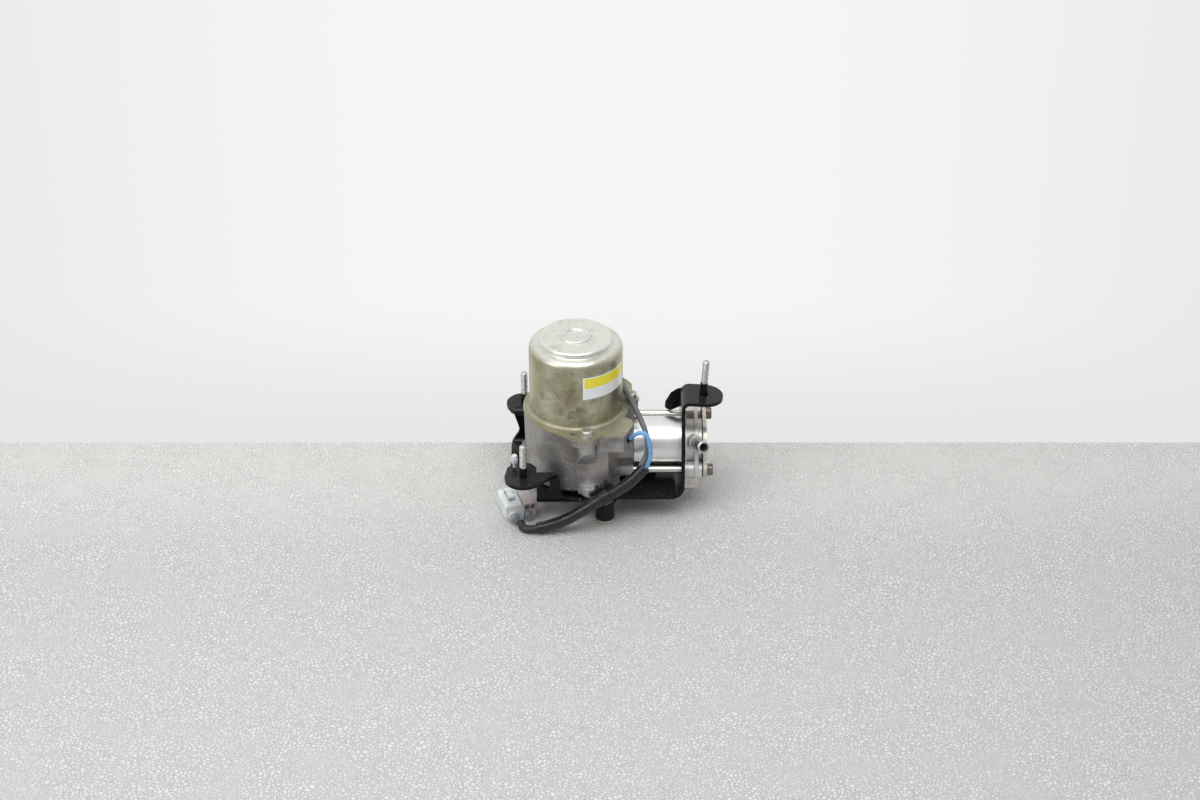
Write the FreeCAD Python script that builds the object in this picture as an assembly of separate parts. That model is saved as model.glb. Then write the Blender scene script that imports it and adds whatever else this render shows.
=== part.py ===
"""Electric vacuum pump: an upright motor on a crankcase that drives one horizontal piston.

Everything is drawn about the motor axis (X = 0, Y = 0) with the floor at Z = 0, +X along the
barrel and +Z up. Saving moves each piece so that the origin lies under the middle of the pump.
"""
import FreeCAD, Part
import math
import os

V = FreeCAD.Vector
X_AXIS = V(1, 0, 0)
Y_AXIS = V(0, 1, 0)
Z_AXIS = V(0, 0, 1)

# Heights of the stack, from the floor up
FOOT_HEAD = 1.6          # low bolt head under each foot
WASHER_T = 1.6
PLATE_LOW = 20.0         # underside of the bracket's base
PLATE_T = 3.2
CASE_LOW = 29.0
CASE_TOP = 90.0          # joint between crankcase and motor
RIM_LOW = 84.0           # underside of the case's shallow rim under the flange
BAND_LOW = 75.0          # underside of its deep part on the barrel side
PILLAR_LOW = 62.0        # foot of the pillars that carry two of the flange screws
CAN_TOP = 160.0

# Motor
CAN_R = 40.0
CAN_T = 1.6
CAN_DISC_R = 31.5        # raised flat disc on the top
CAN_STEP = 5.0           # drop from the disc to the shoulder
FLANGE_R = 45.6
FLANGE_T = 1.8
SHAFT_R = 4.0
BEARING_R = 11.0
BEARING_W = 7.0
AIR_GAP = 0.6
CORE_R = 24.0
CORE_LOW = 112.0
CORE_TOP = 142.0
SLOTS = 10
COMMUTATOR_R = 11.0
END_PLATE_T = 6.0

# Slider-crank
BARREL_Z = 54.0          # height of the barrel's axis
THROW = 8.0
ROD_LENGTH = 72.0
PISTON_R = 18.0
RUNNING_GAP = 0.05
PISTON_LENGTH = 26.0
CROWN_AHEAD = 12.5       # crown beyond the gudgeon pin
GUDGEON_R = 4.0
CRANK_PIN_R = 5.0
ROD_T = 10.0
DISC_LOW = 61.0
DISC_T = 9.0

# Barrel line, along +X
CASE_FACE = 49.3
GASKET_T = 0.5
GASKET_R = 24.5
BARREL_R = 22.0
SPIGOT_R = 20.0
ARM_LEFT = 90.2          # barrel shoulder, against the bracket's arm
HEAD_FACE = ARM_LEFT + PLATE_T
HEAD_END = 108.4
HEAD_RIB = (102.0, 105.4)
HEAD_HUB_R = 18.0        # middle disc of the two-lobed cover, gasket and rib
PORT_END = 105.8         # right side of the block under the head
COVER_GASKET_T = 1.2
COVER_T = 3.2
BOLT_CIRCLE = 27.5
REED_T = 0.2
BOLT_R = 3.0
BOLT_ANGLES = (30.0, 210.0)          # about the barrel's axis, from +Y towards +Z

# Feet: rubber isolators, three under the case's lugs and one under the barrel
FOOT_FRONT = (24.8, -41.0)
FOOT_REAR = (24.8, 41.0)
FOOT_LEFT = (-38.0, 22.0)
FOOT_BARREL = (62.0, 0.0)
FOOT_R = 7.9
FOOT_BOLT_R = 2.5
LUG_R = 10.0
LUG_TOP = 37.5
PANEL = (1.8, 28.3, -44.4)   # left, right and front of the flat panel on the case

# Bracket ears and studs
EAR_R = 16.0
EAR_FRONT = (-44.5, -57.7)
EAR_REAR = (-46.5, 61.7)
EAR_RIGHT = (110.0, -5.0)
EAR_CLIP = (-52.4, -42.4)
LOW_EAR_TOP = 55.2
HIGH_EAR_TOP = 105.0
EAR_TILT = 3.5           # the right ear droops a little to its tip
STUD_R = 3.0
STUD_GRIP = 20.0         # threaded length
STUD_COLLARS = (10.0, 10.0, 12.0)    # painted collar, a little thicker than the thread
COLLAR_R = 3.35
BASE_FRONT = -40.0
BASE_REAR = 43.0
SIDE_FRONT = -47.6       # middle of the front upright
SIDE_REAR = 50.6
SIDE_BEND = 5.0
BASE_BEND = 10.4         # kept under the barrel's shoulder

# Flange screws, with the radius of the flange's lobe round each
SCREWS = ((9.6, -50.5), (47.6, 10.0), (-33.0, 36.5))
LOBE_R = (8.8, 6.8, 7.5)
LOBE_INSET = 0.8         # the case is this much smaller than the flange
SCREW_HEAD_R = 4.9
SCREW_HEAD_T = 5.0
# Edge of the flange beyond its round part, with the radius of each corner
FLANGE_EDGE = [(-37.5, -26.5), (-29.0, -37.4, 14), (-0.6, -57.3, 9), (13.4, -60.2, 4), (21.4, -50.6, 4),
               (41.7, -50.6, 2.5), (48.4, -33.4, 3), (48.4, -26.4, 2), (41.5, -20, 3), (41.5, -3, 3),
               (48.4, 3, 3), (48.4, 33, 3), (43.4, 42, 3), (0, 42.0)]

# Nipple
NIPPLE_ROOT = V(103.0, -20.0, 65.0)
NIPPLE_TIP = V(109.0, -38.0, 72.0)
NIPPLE_R = 5.3           # where the hose grips
NIPPLE_GRIP = 12.0
NIPPLE_ROOT_R = 5.6
NIPPLE_BORE = 3.6
NIPPLE_SUNK = 3.5

# Wiring
BLUE_R = 1.85
GREY_R = 2.4
SHEATH_R = 5.2
TAIL_R = 3.6
BLUE_ROUTE = [(46.0, -42.5, 84.0), (50.0, -44.8, 88.0), (54.4, -47.2, 91.0), (58.8, -49.2, 91.0),
              (62.2, -50.7, 88.0), (64.0, -51.6, 83.0), (64.7, -51.9, 77.0), (64.8, -51.3, 70.8),
              (64.4, -50.4, 65.6), (62.6, -49.7, 61.6), (60.2, -50.6, 58.8)]
GREY_ROUTE = [(39.0, 29.6, 97.4), (41.6, 24.2, 101.2), (44.6, 15.2, 102.2), (46.6, 5.2, 100.8),
              (49.4, -5.6, 98.0), (53.0, -16.6, 94.8), (56.8, -27.6, 91.0), (60.0, -36.6, 85.6),
              (61.4, -43.0, 78.6), (61.2, -47.2, 71.8), (59.9, -48.9, 65.8), (56.8, -50.1, 61.6)]
SHEATH_ROUTE = [(58.6, -50.4, 60.0), (52.2, -52.8, 52.4), (43.6, -55.0, 45.6), (33.0, -57.2, 39.4),
                (20.6, -59.2, 32.4), (7.4, -60.8, 23.6), (-6.4, -61.8, 14.8), (-20.0, -62.4, 8.4),
                (-33.0, -62.8, 5.6)]
TAIL_ROUTE = [(-33.0, -62.8, 5.6), (-39.5, -63.0, 4.2), (-44.2, -61.0, 4.0), (-46.9, -57.2, 4.4),
              (-47.8, -53.2, 5.0)]
CLIP_SPAN = 3            # the cable clip sits on this run of the sheath

# Connector, lying on the floor
CONNECTOR_AT = V(-56.6, -31.6, 0.4)
CONNECTOR_TURN = -72.5   # direction of its wire side, degrees from +X

EARS_LEFT = EAR_REAR[0] - EAR_R
EARS_RIGHT = EAR_RIGHT[0] + EAR_R
EARS_FRONT = EAR_FRONT[1] - EAR_R
EARS_REAR = EAR_REAR[1] + EAR_R
ORIGIN = V((EARS_LEFT + EARS_RIGHT) / 2, (EARS_FRONT + EARS_REAR) / 2, 0)

PLANES = {"XY": (X_AXIS, Y_AXIS, Z_AXIS), "XZ": (X_AXIS, Z_AXIS, Y_AXIS),
          "YZ": (Y_AXIS, Z_AXIS, X_AXIS)}


def outline(points, plane="XY", level=0.0):
    """Closed wire through (u, v) corners; a third value rounds that corner."""
    u_dir, v_dir, normal = PLANES[plane]

    def place(u, v):
        return u_dir * u + v_dir * v + normal * level

    edges = []
    last = first = None
    count = len(points)
    for i, point in enumerate(points):
        here = V(point[0], point[1], 0)
        before = V(*points[i - 1][:2], 0) - here
        after = V(*points[(i + 1) % count][:2], 0) - here
        radius = point[2] if len(point) > 2 else 0
        if radius:
            half = before.getAngle(after) / 2
            before.normalize()
            after.normalize()
            reach = radius / math.tan(half)
            start = here + before * reach
            end = here + after * reach
            inward = (before + after).normalize()
            middle = here + inward * (radius / math.sin(half) - radius)
            arc = Part.Arc(place(start.x, start.y), place(middle.x, middle.y), place(end.x, end.y))
        else:
            start = end = here
            arc = None
        a = place(start.x, start.y)
        if last is None:
            first = a
        elif last.distanceToPoint(a) > 1e-6:
            edges.append(Part.LineSegment(last, a).toShape())
        if arc:
            edges.append(arc.toShape())
        last = place(end.x, end.y)
    if last.distanceToPoint(first) > 1e-6:
        edges.append(Part.LineSegment(last, first).toShape())
    return Part.Wire(edges)


def prism(points, low, high, plane="XY"):
    normal = PLANES[plane][2]
    return Part.Face(outline(points, plane, low)).extrude(normal * (high - low))


def turned(points, base=V(0, 0, 0), axis=Z_AXIS):
    """Solid of revolution of an (r, height) outline about an axis through base."""
    solid = Part.Face(outline(points, "XZ")).revolve(V(0, 0, 0), Z_AXIS, 360)
    solid.Placement = FreeCAD.Placement(base, FreeCAD.Rotation(Z_AXIS, axis))
    return solid


def rod(radius, length, base, axis=Z_AXIS):
    return Part.makeCylinder(radius, length, base, axis)


def ring(outer, inner, length, base, axis=Z_AXIS):
    return rod(outer, length, base, axis).cut(rod(inner, length, base, axis))


def merged(*shapes):
    solid = shapes[0].fuse(list(shapes[1:])) if len(shapes) > 1 else shapes[0]
    return solid.removeSplitter()


def on_barrel(x, y=0.0, z=0.0):
    """Point at x along the barrel, offset from its axis."""
    return V(x, y, BARREL_Z + z)


def bolt_points():
    return [(BOLT_CIRCLE * math.cos(math.radians(a)), BOLT_CIRCLE * math.sin(math.radians(a)))
            for a in BOLT_ANGLES]


def hexagon(flats, low, high, centre, plane="XY"):
    corner = flats / math.sqrt(3)
    points = [(centre[0] + corner * math.cos(math.radians(60 * k)),
               centre[1] + corner * math.sin(math.radians(60 * k))) for k in range(6)]
    return prism(points, low, high, plane)


def strip(points, low, high, plane):
    """Bent sheet: (u, v, bend radius) points give its middle line, extruded across the plane."""
    half = PLATE_T / 2
    sides = {1: [], -1: []}
    for i, (u, v, bend) in enumerate(points):
        here = V(u, v, 0)
        before = (here - V(*points[i - 1][:2], 0)).normalize() if i else None
        after = (V(*points[i + 1][:2], 0) - here).normalize() if i + 1 < len(points) else None
        run_in = before or after
        run_out = after or before
        turn = run_in.x * run_out.y - run_in.y * run_out.x
        normal_in = V(-run_in.y, run_in.x, 0)
        normal_out = V(-run_out.y, run_out.x, 0)
        mitre = (normal_in + normal_out) * (1 / (1 + normal_in.dot(normal_out)))
        for side in (1, -1):
            place = here + mitre * (half * side)
            radius = bend - half * side * math.copysign(1, turn) if bend else 0
            sides[side].append((place.x, place.y, radius) if radius else (place.x, place.y))
    return prism(sides[1] + sides[-1][::-1], low, high, plane)


def can_shell_profile(inset):
    """(r, z) outline of the drawn can, or of its inside when inset is the wall."""
    top = CAN_TOP - inset
    wall = CAN_R - inset
    disc = CAN_DISC_R - inset
    shoulder = CAN_TOP - CAN_STEP - inset
    return [(0, CASE_TOP - 1), (wall, CASE_TOP - 1), (wall, shoulder, 6.5 - inset),
            (disc, shoulder, 1.0), (disc, top, 2.6 - inset * 0.6), (0, top)]


def flange_plate(inset, low, high):
    """Plate in the flange's plan, or drawn in from its edge for the case below it."""
    face = Part.Face(outline(FLANGE_EDGE))
    if inset:
        face = face.makeOffset2D(-inset)
    face.translate(V(0, 0, low))
    shape = face.extrude(V(0, 0, high - low)).fuse(rod(FLANGE_R - inset, high - low, V(0, 0, low)))
    for index in (1, 2):
        shape = shape.fuse(screw_lobe(index, LOBE_R[index] - inset, low, high))
    return shape


def screw_lobe(index, radius, low, high):
    """Lobe about a flange screw, blended towards the motor axis."""
    x, y = SCREWS[index]
    away = math.atan2(y, x)
    spread = 0.42
    base = [(34 * math.cos(away + s), 34 * math.sin(away + s)) for s in (-spread, spread)]
    side = V(-math.sin(away), math.cos(away), 0)
    tips = [(x - side.x * radius, y - side.y * radius), (x + side.x * radius, y + side.y * radius)]
    neck = prism([base[0], tips[0], tips[1], base[1]], low, high)
    return neck.fuse(rod(radius, high - low, V(x, y, low)))


def motor_can():
    outer = turned(can_shell_profile(0))
    shape = outer.fuse(flange_plate(0, CASE_TOP, CASE_TOP + FLANGE_T))
    flare = turned([(CAN_R - 1, CASE_TOP), (CAN_R + 3.4, CASE_TOP),
                    (CAN_R + 3.4, CASE_TOP + FLANGE_T), (CAN_R, CASE_TOP + FLANGE_T, 3.0),
                    (CAN_R, CASE_TOP + 8), (CAN_R - 1, CASE_TOP + 8)])
    boss = turned([(0, CAN_TOP - 0.5), (13.5, CAN_TOP - 0.5), (13.5, CAN_TOP + 1.2, 1.2),
                   (9.6, CAN_TOP + 1.2, 1.2), (8.8, CAN_TOP - 0.3), (0, CAN_TOP - 0.3)])
    shape = merged(shape, flare, boss)
    shape = shape.cut(turned(can_shell_profile(CAN_T)))
    shape = shape.cut(Part.makeBox(140, 140, 2, V(-70, -70, CASE_TOP - 2)))
    for x, y in SCREWS:
        shape = shape.cut(rod(2.7, 4, V(x, y, CASE_TOP - 1)))
    slot = prism([(-4.6, -50.0, 1.8), (0.2, -50.0, 1.8), (0.2, -46.2, 1.8), (-4.6, -46.2, 1.8)],
                 CASE_TOP - 1, CASE_TOP + 3)
    return shape.cut(slot)


def sticker():
    """Thin curved label field on the can's front right."""
    band = ring(CAN_R + 0.12, CAN_R, 21.0, V(0, 0, 120.6))
    wedge = prism([(0, 0), (90 * math.cos(math.radians(-81)), 90 * math.sin(math.radians(-81))),
                   (90, -90), (90 * math.cos(math.radians(-14)), 90 * math.sin(math.radians(-14)))],
                  110, 150)
    return band.common(wedge)


def flange_screws():
    bodies = []
    for x, y in SCREWS:
        low = CASE_TOP + FLANGE_T
        washer = ring(5.7, 2.6, 1.0, V(x, y, low))
        top = low + 1 + SCREW_HEAD_T
        head = turned([(0, low + 1), (SCREW_HEAD_R, low + 1), (SCREW_HEAD_R, top, 1.4), (0, top)])
        head.translate(V(x, y, 0))
        cross = Part.makeBox(6, 1.3, 2.2, V(x - 3, y - 0.65, top - 1.8))
        other = Part.makeBox(1.3, 6, 2.2, V(x - 0.65, y - 3, top - 1.8))
        shank = rod(2.5, 14, V(x, y, low + 1 - 13))
        bodies.append(merged(washer, head, shank).cut(cross).cut(other))
    return Part.makeCompound(bodies)


def bearing_parts(low):
    """Outer race, inner race and ball ring of one deep-groove ball bearing."""
    middle = low + BEARING_W / 2
    pitch = (BEARING_R + SHAFT_R) / 2
    ball = 1.95
    groove = Part.makeTorus(pitch, ball + RUNNING_GAP, V(0, 0, middle), Z_AXIS)
    outer = ring(BEARING_R, 8.9, BEARING_W, V(0, 0, low)).cut(groove)
    inner = ring(6.1, SHAFT_R, BEARING_W, V(0, 0, low)).cut(groove)
    balls = [Part.makeSphere(ball, V(pitch * math.cos(a), pitch * math.sin(a), middle))
             for a in (2 * math.pi * k / 7 for k in range(7))]
    return outer, inner, Part.makeCompound(balls)


def bearing_cup():
    low = CAN_TOP - CAN_T - 8.2
    wall = ring(BEARING_R + 1.6, BEARING_R, 8.2, V(0, 0, low))
    brim = ring(21, BEARING_R, 1.4, V(0, 0, CAN_TOP - CAN_T - 1.4))
    return merged(wall, brim)


def magnets():
    arcs = []
    wall = ring(CAN_R - CAN_T, CORE_R + AIR_GAP, CORE_TOP - CORE_LOW, V(0, 0, CORE_LOW))
    for facing in (0, 180):
        corners = [(0, 0)]
        for angle in (-62, -20, 20, 62):
            corners.append((60 * math.cos(math.radians(facing + angle)),
                            60 * math.sin(math.radians(facing + angle))))
        arcs.append(wall.common(prism(corners, CORE_LOW, CORE_TOP)))
    return Part.makeCompound(arcs)


def core_slots(radius, low, high):
    return [rod(radius, high - low, V(18 * math.cos(a), 18 * math.sin(a), low))
            for a in (2 * math.pi * k / SLOTS for k in range(SLOTS))]


def armature_core():
    core = ring(CORE_R, SHAFT_R, CORE_TOP - CORE_LOW, V(0, 0, CORE_LOW))
    core = core.cut(Part.makeCompound(core_slots(3.6, CORE_LOW, CORE_TOP)))
    for k in range(SLOTS):
        mouth = Part.makeBox(6, 1.6, CORE_TOP - CORE_LOW, V(19, -0.8, CORE_LOW))
        mouth.rotate(V(0, 0, 0), Z_AXIS, 360 * k / SLOTS)
        core = core.cut(mouth)
    return core


def armature_windings():
    lower = turned([(5, CORE_LOW - 7), (19, CORE_LOW - 7, 3), (22.5, CORE_LOW, 3), (5, CORE_LOW)])
    upper = turned([(5, CORE_TOP), (22.5, CORE_TOP, 3), (19, CORE_TOP + 6, 3), (5, CORE_TOP + 6)])
    return merged(lower, upper, *core_slots(3.5, CORE_LOW, CORE_TOP))


def commutator():
    body = ring(COMMUTATOR_R, SHAFT_R, 11, V(0, 0, 93.5))
    for k in range(SLOTS):
        gap = Part.makeBox(2, 0.6, 11, V(COMMUTATOR_R - 1.2, -0.3, 93.5))
        gap.rotate(V(0, 0, 0), Z_AXIS, 360 * (k + 0.5) / SLOTS)
        body = body.cut(gap)
    return body


def brush_gear():
    """Brush plate, holders, carbon brushes and springs, on the X axis at both sides."""
    low = CASE_TOP + 1.0
    plate = ring(37.5, 13.0, 1.6, V(0, 0, low))
    holders, brushes, springs = [], [], []
    for side in (1, -1):
        box = Part.makeBox(22, 9, 9.4, V(14, -4.5, low + 1.6))
        box = box.cut(Part.makeBox(20.6, 6.2, 6.4, V(14, -3.1, low + 2.8)))
        brush = Part.makeBox(14.5, 6.0, 6.2, V(COMMUTATOR_R, -3.0, low + 2.9))
        brush = brush.cut(rod(COMMUTATOR_R + RUNNING_GAP, 12, V(0, 0, low)))
        coils = [Part.makeTorus(2.2, 0.35, V(26.2 + 1.2 * k, 0, low + 6), X_AXIS) for k in range(6)]
        for group, shape in ((holders, [box]), (brushes, [brush]), (springs, coils)):
            for item in shape:
                if side < 0:
                    item.rotate(V(0, 0, 0), Z_AXIS, 180)
                group.append(item)
    return plate, Part.makeCompound(holders), Part.makeCompound(brushes), Part.makeCompound(springs)


def motor_end_plate():
    low = CASE_TOP - END_PLATE_T
    plate = rod(37.0, END_PLATE_T, V(0, 0, low))
    hub = rod(BEARING_R + 3, 2.6, V(0, 0, low - 2.6))
    plate = merged(plate, hub)
    plate = plate.cut(rod(BEARING_R, 10, V(0, 0, CASE_TOP - BEARING_W)))
    return plate.cut(rod(6.0, 20, V(0, 0, low - 5)))


def motor_shaft():
    shaft = rod(SHAFT_R, 157 - DISC_LOW, V(0, 0, DISC_LOW))
    flat = Part.makeBox(10, 3, 14, V(-5, SHAFT_R - 0.6, DISC_LOW))
    return shaft.cut(flat)


def crank_disc():
    """Disc with a counterweight opposite the crank pin, bored for the flatted shaft."""
    disc = rod(15.0, DISC_T, V(0, 0, DISC_LOW))
    hub = rod(9.0, 18.0, V(0, 0, DISC_LOW))
    weight = rod(30.0, DISC_T, V(0, 0, DISC_LOW))
    sector = prism([(-6, 0), (-40, -30, 4), (-40, 30, 4)], DISC_LOW, DISC_LOW + DISC_T)
    solid = merged(disc, hub, weight.common(sector))
    return solid.cut(motor_shaft())


def con_rod():
    low = BARREL_Z - ROD_T / 2
    big = rod(13.0, ROD_T, V(THROW, 0, low))
    pin_x = THROW + ROD_LENGTH
    small = rod(7.5, ROD_T, V(pin_x, 0, low))
    shank = prism([(THROW, -5.5), (pin_x, -4.2), (pin_x, 4.2), (THROW, 5.5)], low + 1, low + ROD_T - 1)
    rod_body = merged(big, small, shank)
    for side in (low + 1, low + ROD_T - 3.6):
        pocket = prism([(THROW + 16, -3.1, 1.5), (pin_x - 11, -2.1, 1.5), (pin_x - 11, 2.1, 1.5),
                        (THROW + 16, 3.1, 1.5)], side - 0.4, side + 3.0)
        rod_body = rod_body.cut(pocket)
    rod_body = rod_body.cut(rod(9.5, 20, V(THROW, 0, low - 5)))
    return rod_body.cut(rod(GUDGEON_R + 1.5, 20, V(pin_x, 0, low - 5)))


def big_end_bearing():
    return ring(9.5, CRANK_PIN_R, ROD_T, V(THROW, 0, BARREL_Z - ROD_T / 2))


def small_end_bush():
    return ring(GUDGEON_R + 1.5, GUDGEON_R + 0.03, ROD_T, V(THROW + ROD_LENGTH, 0, BARREL_Z - ROD_T / 2))


def crank_pin():
    low = BARREL_Z - ROD_T / 2 - 1.2
    pin = rod(CRANK_PIN_R, DISC_LOW - 0.3 - low, V(THROW, 0, low))
    collar = ring(7.0, CRANK_PIN_R, 1.2, V(THROW, 0, low))
    return merged(pin, collar)


def piston():
    pin_x = THROW + ROD_LENGTH
    crown = pin_x + CROWN_AHEAD
    skirt = crown - PISTON_LENGTH
    body = rod(PISTON_R, PISTON_LENGTH, on_barrel(skirt), X_AXIS)
    hollow = rod(14.6, PISTON_LENGTH - 4.6, on_barrel(skirt), X_AXIS)
    shell = body.cut(hollow)
    bosses = rod(7.0, 40, V(pin_x, 0, BARREL_Z - 20)).common(body)
    gap = Part.makeBox(16, 40, ROD_T + 1.2, V(pin_x - 8, -20, BARREL_Z - ROD_T / 2 - 0.6))
    shell = merged(shell, bosses.cut(gap))
    shell = shell.cut(rod(GUDGEON_R, 40, V(pin_x, 0, BARREL_Z - 20)))
    groove = ring(PISTON_R + 1, PISTON_R - 1.6, 1.5, on_barrel(crown - 3.9), X_AXIS)
    return shell.cut(groove)


def piston_ring():
    crown = THROW + ROD_LENGTH + CROWN_AHEAD
    band = ring(PISTON_R + 0.02, PISTON_R - 1.6, 1.5, on_barrel(crown - 3.9), X_AXIS)
    gap = Part.makeBox(4, 0.6, 4, V(crown - 5, -0.3, BARREL_Z + PISTON_R - 2))
    return band.cut(gap)


def gudgeon_pin():
    return ring(GUDGEON_R, 2.0, 29, V(THROW + ROD_LENGTH, 0, BARREL_Z - 14.5))


def circlips():
    pin_x = THROW + ROD_LENGTH
    return Part.makeCompound([ring(GUDGEON_R, 2.9, 1.0, V(pin_x, 0, z))
                              for z in (BARREL_Z + 14.5, BARREL_Z - 15.5)])


def case_band():
    """Rim under the motor flange: shallow round the case, deep on the barrel side."""
    rim = flange_plate(LOBE_INSET, RIM_LOW, CASE_TOP)
    right = Part.makeBox(100, 200, CASE_TOP - BAND_LOW, V(18.0, -100, BAND_LOW))
    deep = flange_plate(LOBE_INSET, BAND_LOW, CASE_TOP).common(right)
    deep = deep.cut(rod(GASKET_R + 0.5, 20, on_barrel(CASE_FACE), X_AXIS))
    pillars = []
    for index in (0, 2):
        # A column under the screw, cut back by a cone so that it fades into the case wall
        radius = LOBE_R[index] - LOBE_INSET
        column = screw_lobe(index, radius, PILLAR_LOW, CASE_TOP)
        reach = math.hypot(*SCREWS[index]) + radius
        slope = turned([(0, PILLAR_LOW), (reach - 10, PILLAR_LOW), (reach, PILLAR_LOW + 16),
                        (reach, CASE_TOP), (0, CASE_TOP)])
        pillars.append(column.common(slope))
    return merged(rim, deep, *pillars)


def foot_ledge(side):
    """Broad ledge that carries the front (-1) or rear (1) isolator beside the barrel neck."""
    plan = [(0, 30), (1.8, 40), (3, 44, 3), (10, 51.5, 5), (30, 50, 7), (37.5, 40, 5), (37.5, 27), (20, 20)]
    return prism([(x, y * side, *corner) for x, y, *corner in plan], CASE_LOW, LUG_TOP)


def foot_lug(foot, inner, inner_radius):
    """Lug for an isolator bolt, blended into the case wall."""
    corners = []
    away = V(foot[0] - inner[0], foot[1] - inner[1], 0).normalize()
    side = V(-away.y, away.x, 0)
    for centre, radius, sign in ((inner, inner_radius, -1), (foot, LUG_R, -1),
                                 (foot, LUG_R, 1), (inner, inner_radius, 1)):
        corners.append((centre[0] + side.x * radius * sign, centre[1] + side.y * radius * sign))
    web = prism(corners, CASE_LOW, LUG_TOP)
    return web.fuse(rod(LUG_R, LUG_TOP - CASE_LOW, V(foot[0], foot[1], CASE_LOW)))


def crankcase():
    body = turned([(0, CASE_LOW), (43.6, CASE_LOW, 4), (45.0, CASE_TOP), (0, CASE_TOP)])
    neck = prism([(-30, 82, 8), (-30, 56, 2), (-22, 48, 2), (-22, 37, 4), (22, 37, 4), (30, 48, 6),
                  (30, 82, 8)], 0, CASE_FACE, "YZ")
    left, right, front = PANEL
    panel = prism([(left, -30), (left, front), (right, front, 1.5), (right, -30)], CASE_LOW, BAND_LOW + 1)
    shape = merged(body, neck, panel, case_band())
    columns = [rod(5.6, CASE_FACE - 29.2, on_barrel(29.2, y, z), X_AXIS) for y, z in bolt_points()]
    lugs = [foot_ledge(-1), foot_ledge(1), foot_lug(FOOT_LEFT, (-26.0, 14.0), 12.0)]
    dot = rod(2.2, 3, V(8.7, -46.0, 64.6), Y_AXIS)
    shape = merged(shape, dot, *columns, *lugs)
    shape = shape.cut(rod(37.0, CASE_TOP - 34, V(0, 0, 34)))
    shape = shape.cut(rod(18.5, CASE_FACE, on_barrel(0), X_AXIS))
    for y, z in bolt_points():
        shape = shape.cut(rod(BOLT_R, 12, on_barrel(CASE_FACE - 10.5, y, z), X_AXIS))
    for x, y in SCREWS:
        shape = shape.cut(rod(2.5, 16, V(x, y, CASE_TOP - 11)))
    for x, y in (FOOT_FRONT, FOOT_REAR, FOOT_LEFT):
        shape = shape.cut(rod(FOOT_BOLT_R, 6, V(x, y, CASE_LOW - 1)))
    socket = rod(2.6, 5.0, V(*BLUE_ROUTE[0]) - wire_exit() * 5.0, wire_exit())
    return shape.cut(socket)


def wire_exit():
    """Direction in which the blue wire leaves the case."""
    return (V(*BLUE_ROUTE[1]) - V(*BLUE_ROUTE[0])).normalize()


def blue_grommet():
    start = V(*BLUE_ROUTE[0])
    along = wire_exit()
    return rod(2.6, 5.0, start - along * 5.0, along)


def grey_grommet():
    """Rubber gland on the flange behind the can, with a slanted collar for the grey wire."""
    start = V(*GREY_ROUTE[0])
    along = (V(*GREY_ROUTE[1]) - start).normalize()
    foot = start - along * 5.0
    low = CASE_TOP + FLANGE_T
    pad = turned([(0, low), (4.6, low), (4.6, low + 1.6, 0.5), (0, low + 1.6)], V(foot.x, foot.y, 0))
    collar = rod(3.3, 5.0, foot, along)
    below = Part.makeBox(20, 20, 10, V(foot.x - 10, foot.y - 10, low - 10))
    return merged(pad, collar).cut(below)


def barrel_gasket():
    return ring(GASKET_R, 18.5, GASKET_T, on_barrel(CASE_FACE), X_AXIS)


def cylinder_barrel():
    start = CASE_FACE + GASKET_T
    bore = PISTON_R + RUNNING_GAP
    length = HEAD_FACE - 0.1 - start
    shape = turned([(bore, 0), (BARREL_R, 0), (BARREL_R, ARM_LEFT - start - 4.0),
                    (BARREL_R - 0.6, ARM_LEFT - start - 4.0), (BARREL_R - 0.6, ARM_LEFT - start - 3.0),
                    (BARREL_R, ARM_LEFT - start - 3.0), (BARREL_R, ARM_LEFT - start),
                    (SPIGOT_R, ARM_LEFT - start), (SPIGOT_R, length), (bore, length)],
                   on_barrel(start), X_AXIS)
    return shape


def head_o_ring():
    return Part.makeTorus(18.9, 0.5, on_barrel(HEAD_FACE + 0.45), X_AXIS)


def valve_plate():
    plate = rod(17.5, 2.0, on_barrel(HEAD_FACE), X_AXIS)
    for y, z in ((-8, 3), (-8, -3), (8, 3), (8, -3)):
        plate = plate.cut(rod(1.6, 2.0, on_barrel(HEAD_FACE, y, z), X_AXIS))
    return plate


def reed(side, x):
    """Spring leaf over two ports of the valve plate, held by its rounded end."""
    y = side * 8.0
    leaf = prism([(y - 3.6, BARREL_Z - 9, 3), (y + 3.6, BARREL_Z - 9, 3), (y + 2.6, BARREL_Z),
                  (y + 3.0, BARREL_Z + 7, 2.8), (y - 3.0, BARREL_Z + 7, 2.8), (y - 2.6, BARREL_Z)],
                 x, x + REED_T, "YZ")
    return leaf


def two_lobes(lobe_r, hub_r, low, high):
    """Plate across the barrel's axis: a hub disc drawn out to a lobe round each tie bolt."""
    shape = rod(hub_r, high - low, on_barrel(low), X_AXIS)
    opening = math.acos((hub_r - lobe_r) / BOLT_CIRCLE)
    for y, z in bolt_points():
        towards = math.atan2(z, y)
        corners = []
        for turn in (opening, -opening):
            side = (math.cos(towards + turn), math.sin(towards + turn))
            ends = [(hub_r * side[0], BARREL_Z + hub_r * side[1]),
                    (y + lobe_r * side[0], BARREL_Z + z + lobe_r * side[1])]
            corners += ends if turn > 0 else ends[::-1]
        shape = shape.fuse([prism(corners, low, high, "YZ"),
                            rod(lobe_r, high - low, on_barrel(low, y, z), X_AXIS)])
    return shape.removeSplitter()


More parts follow.
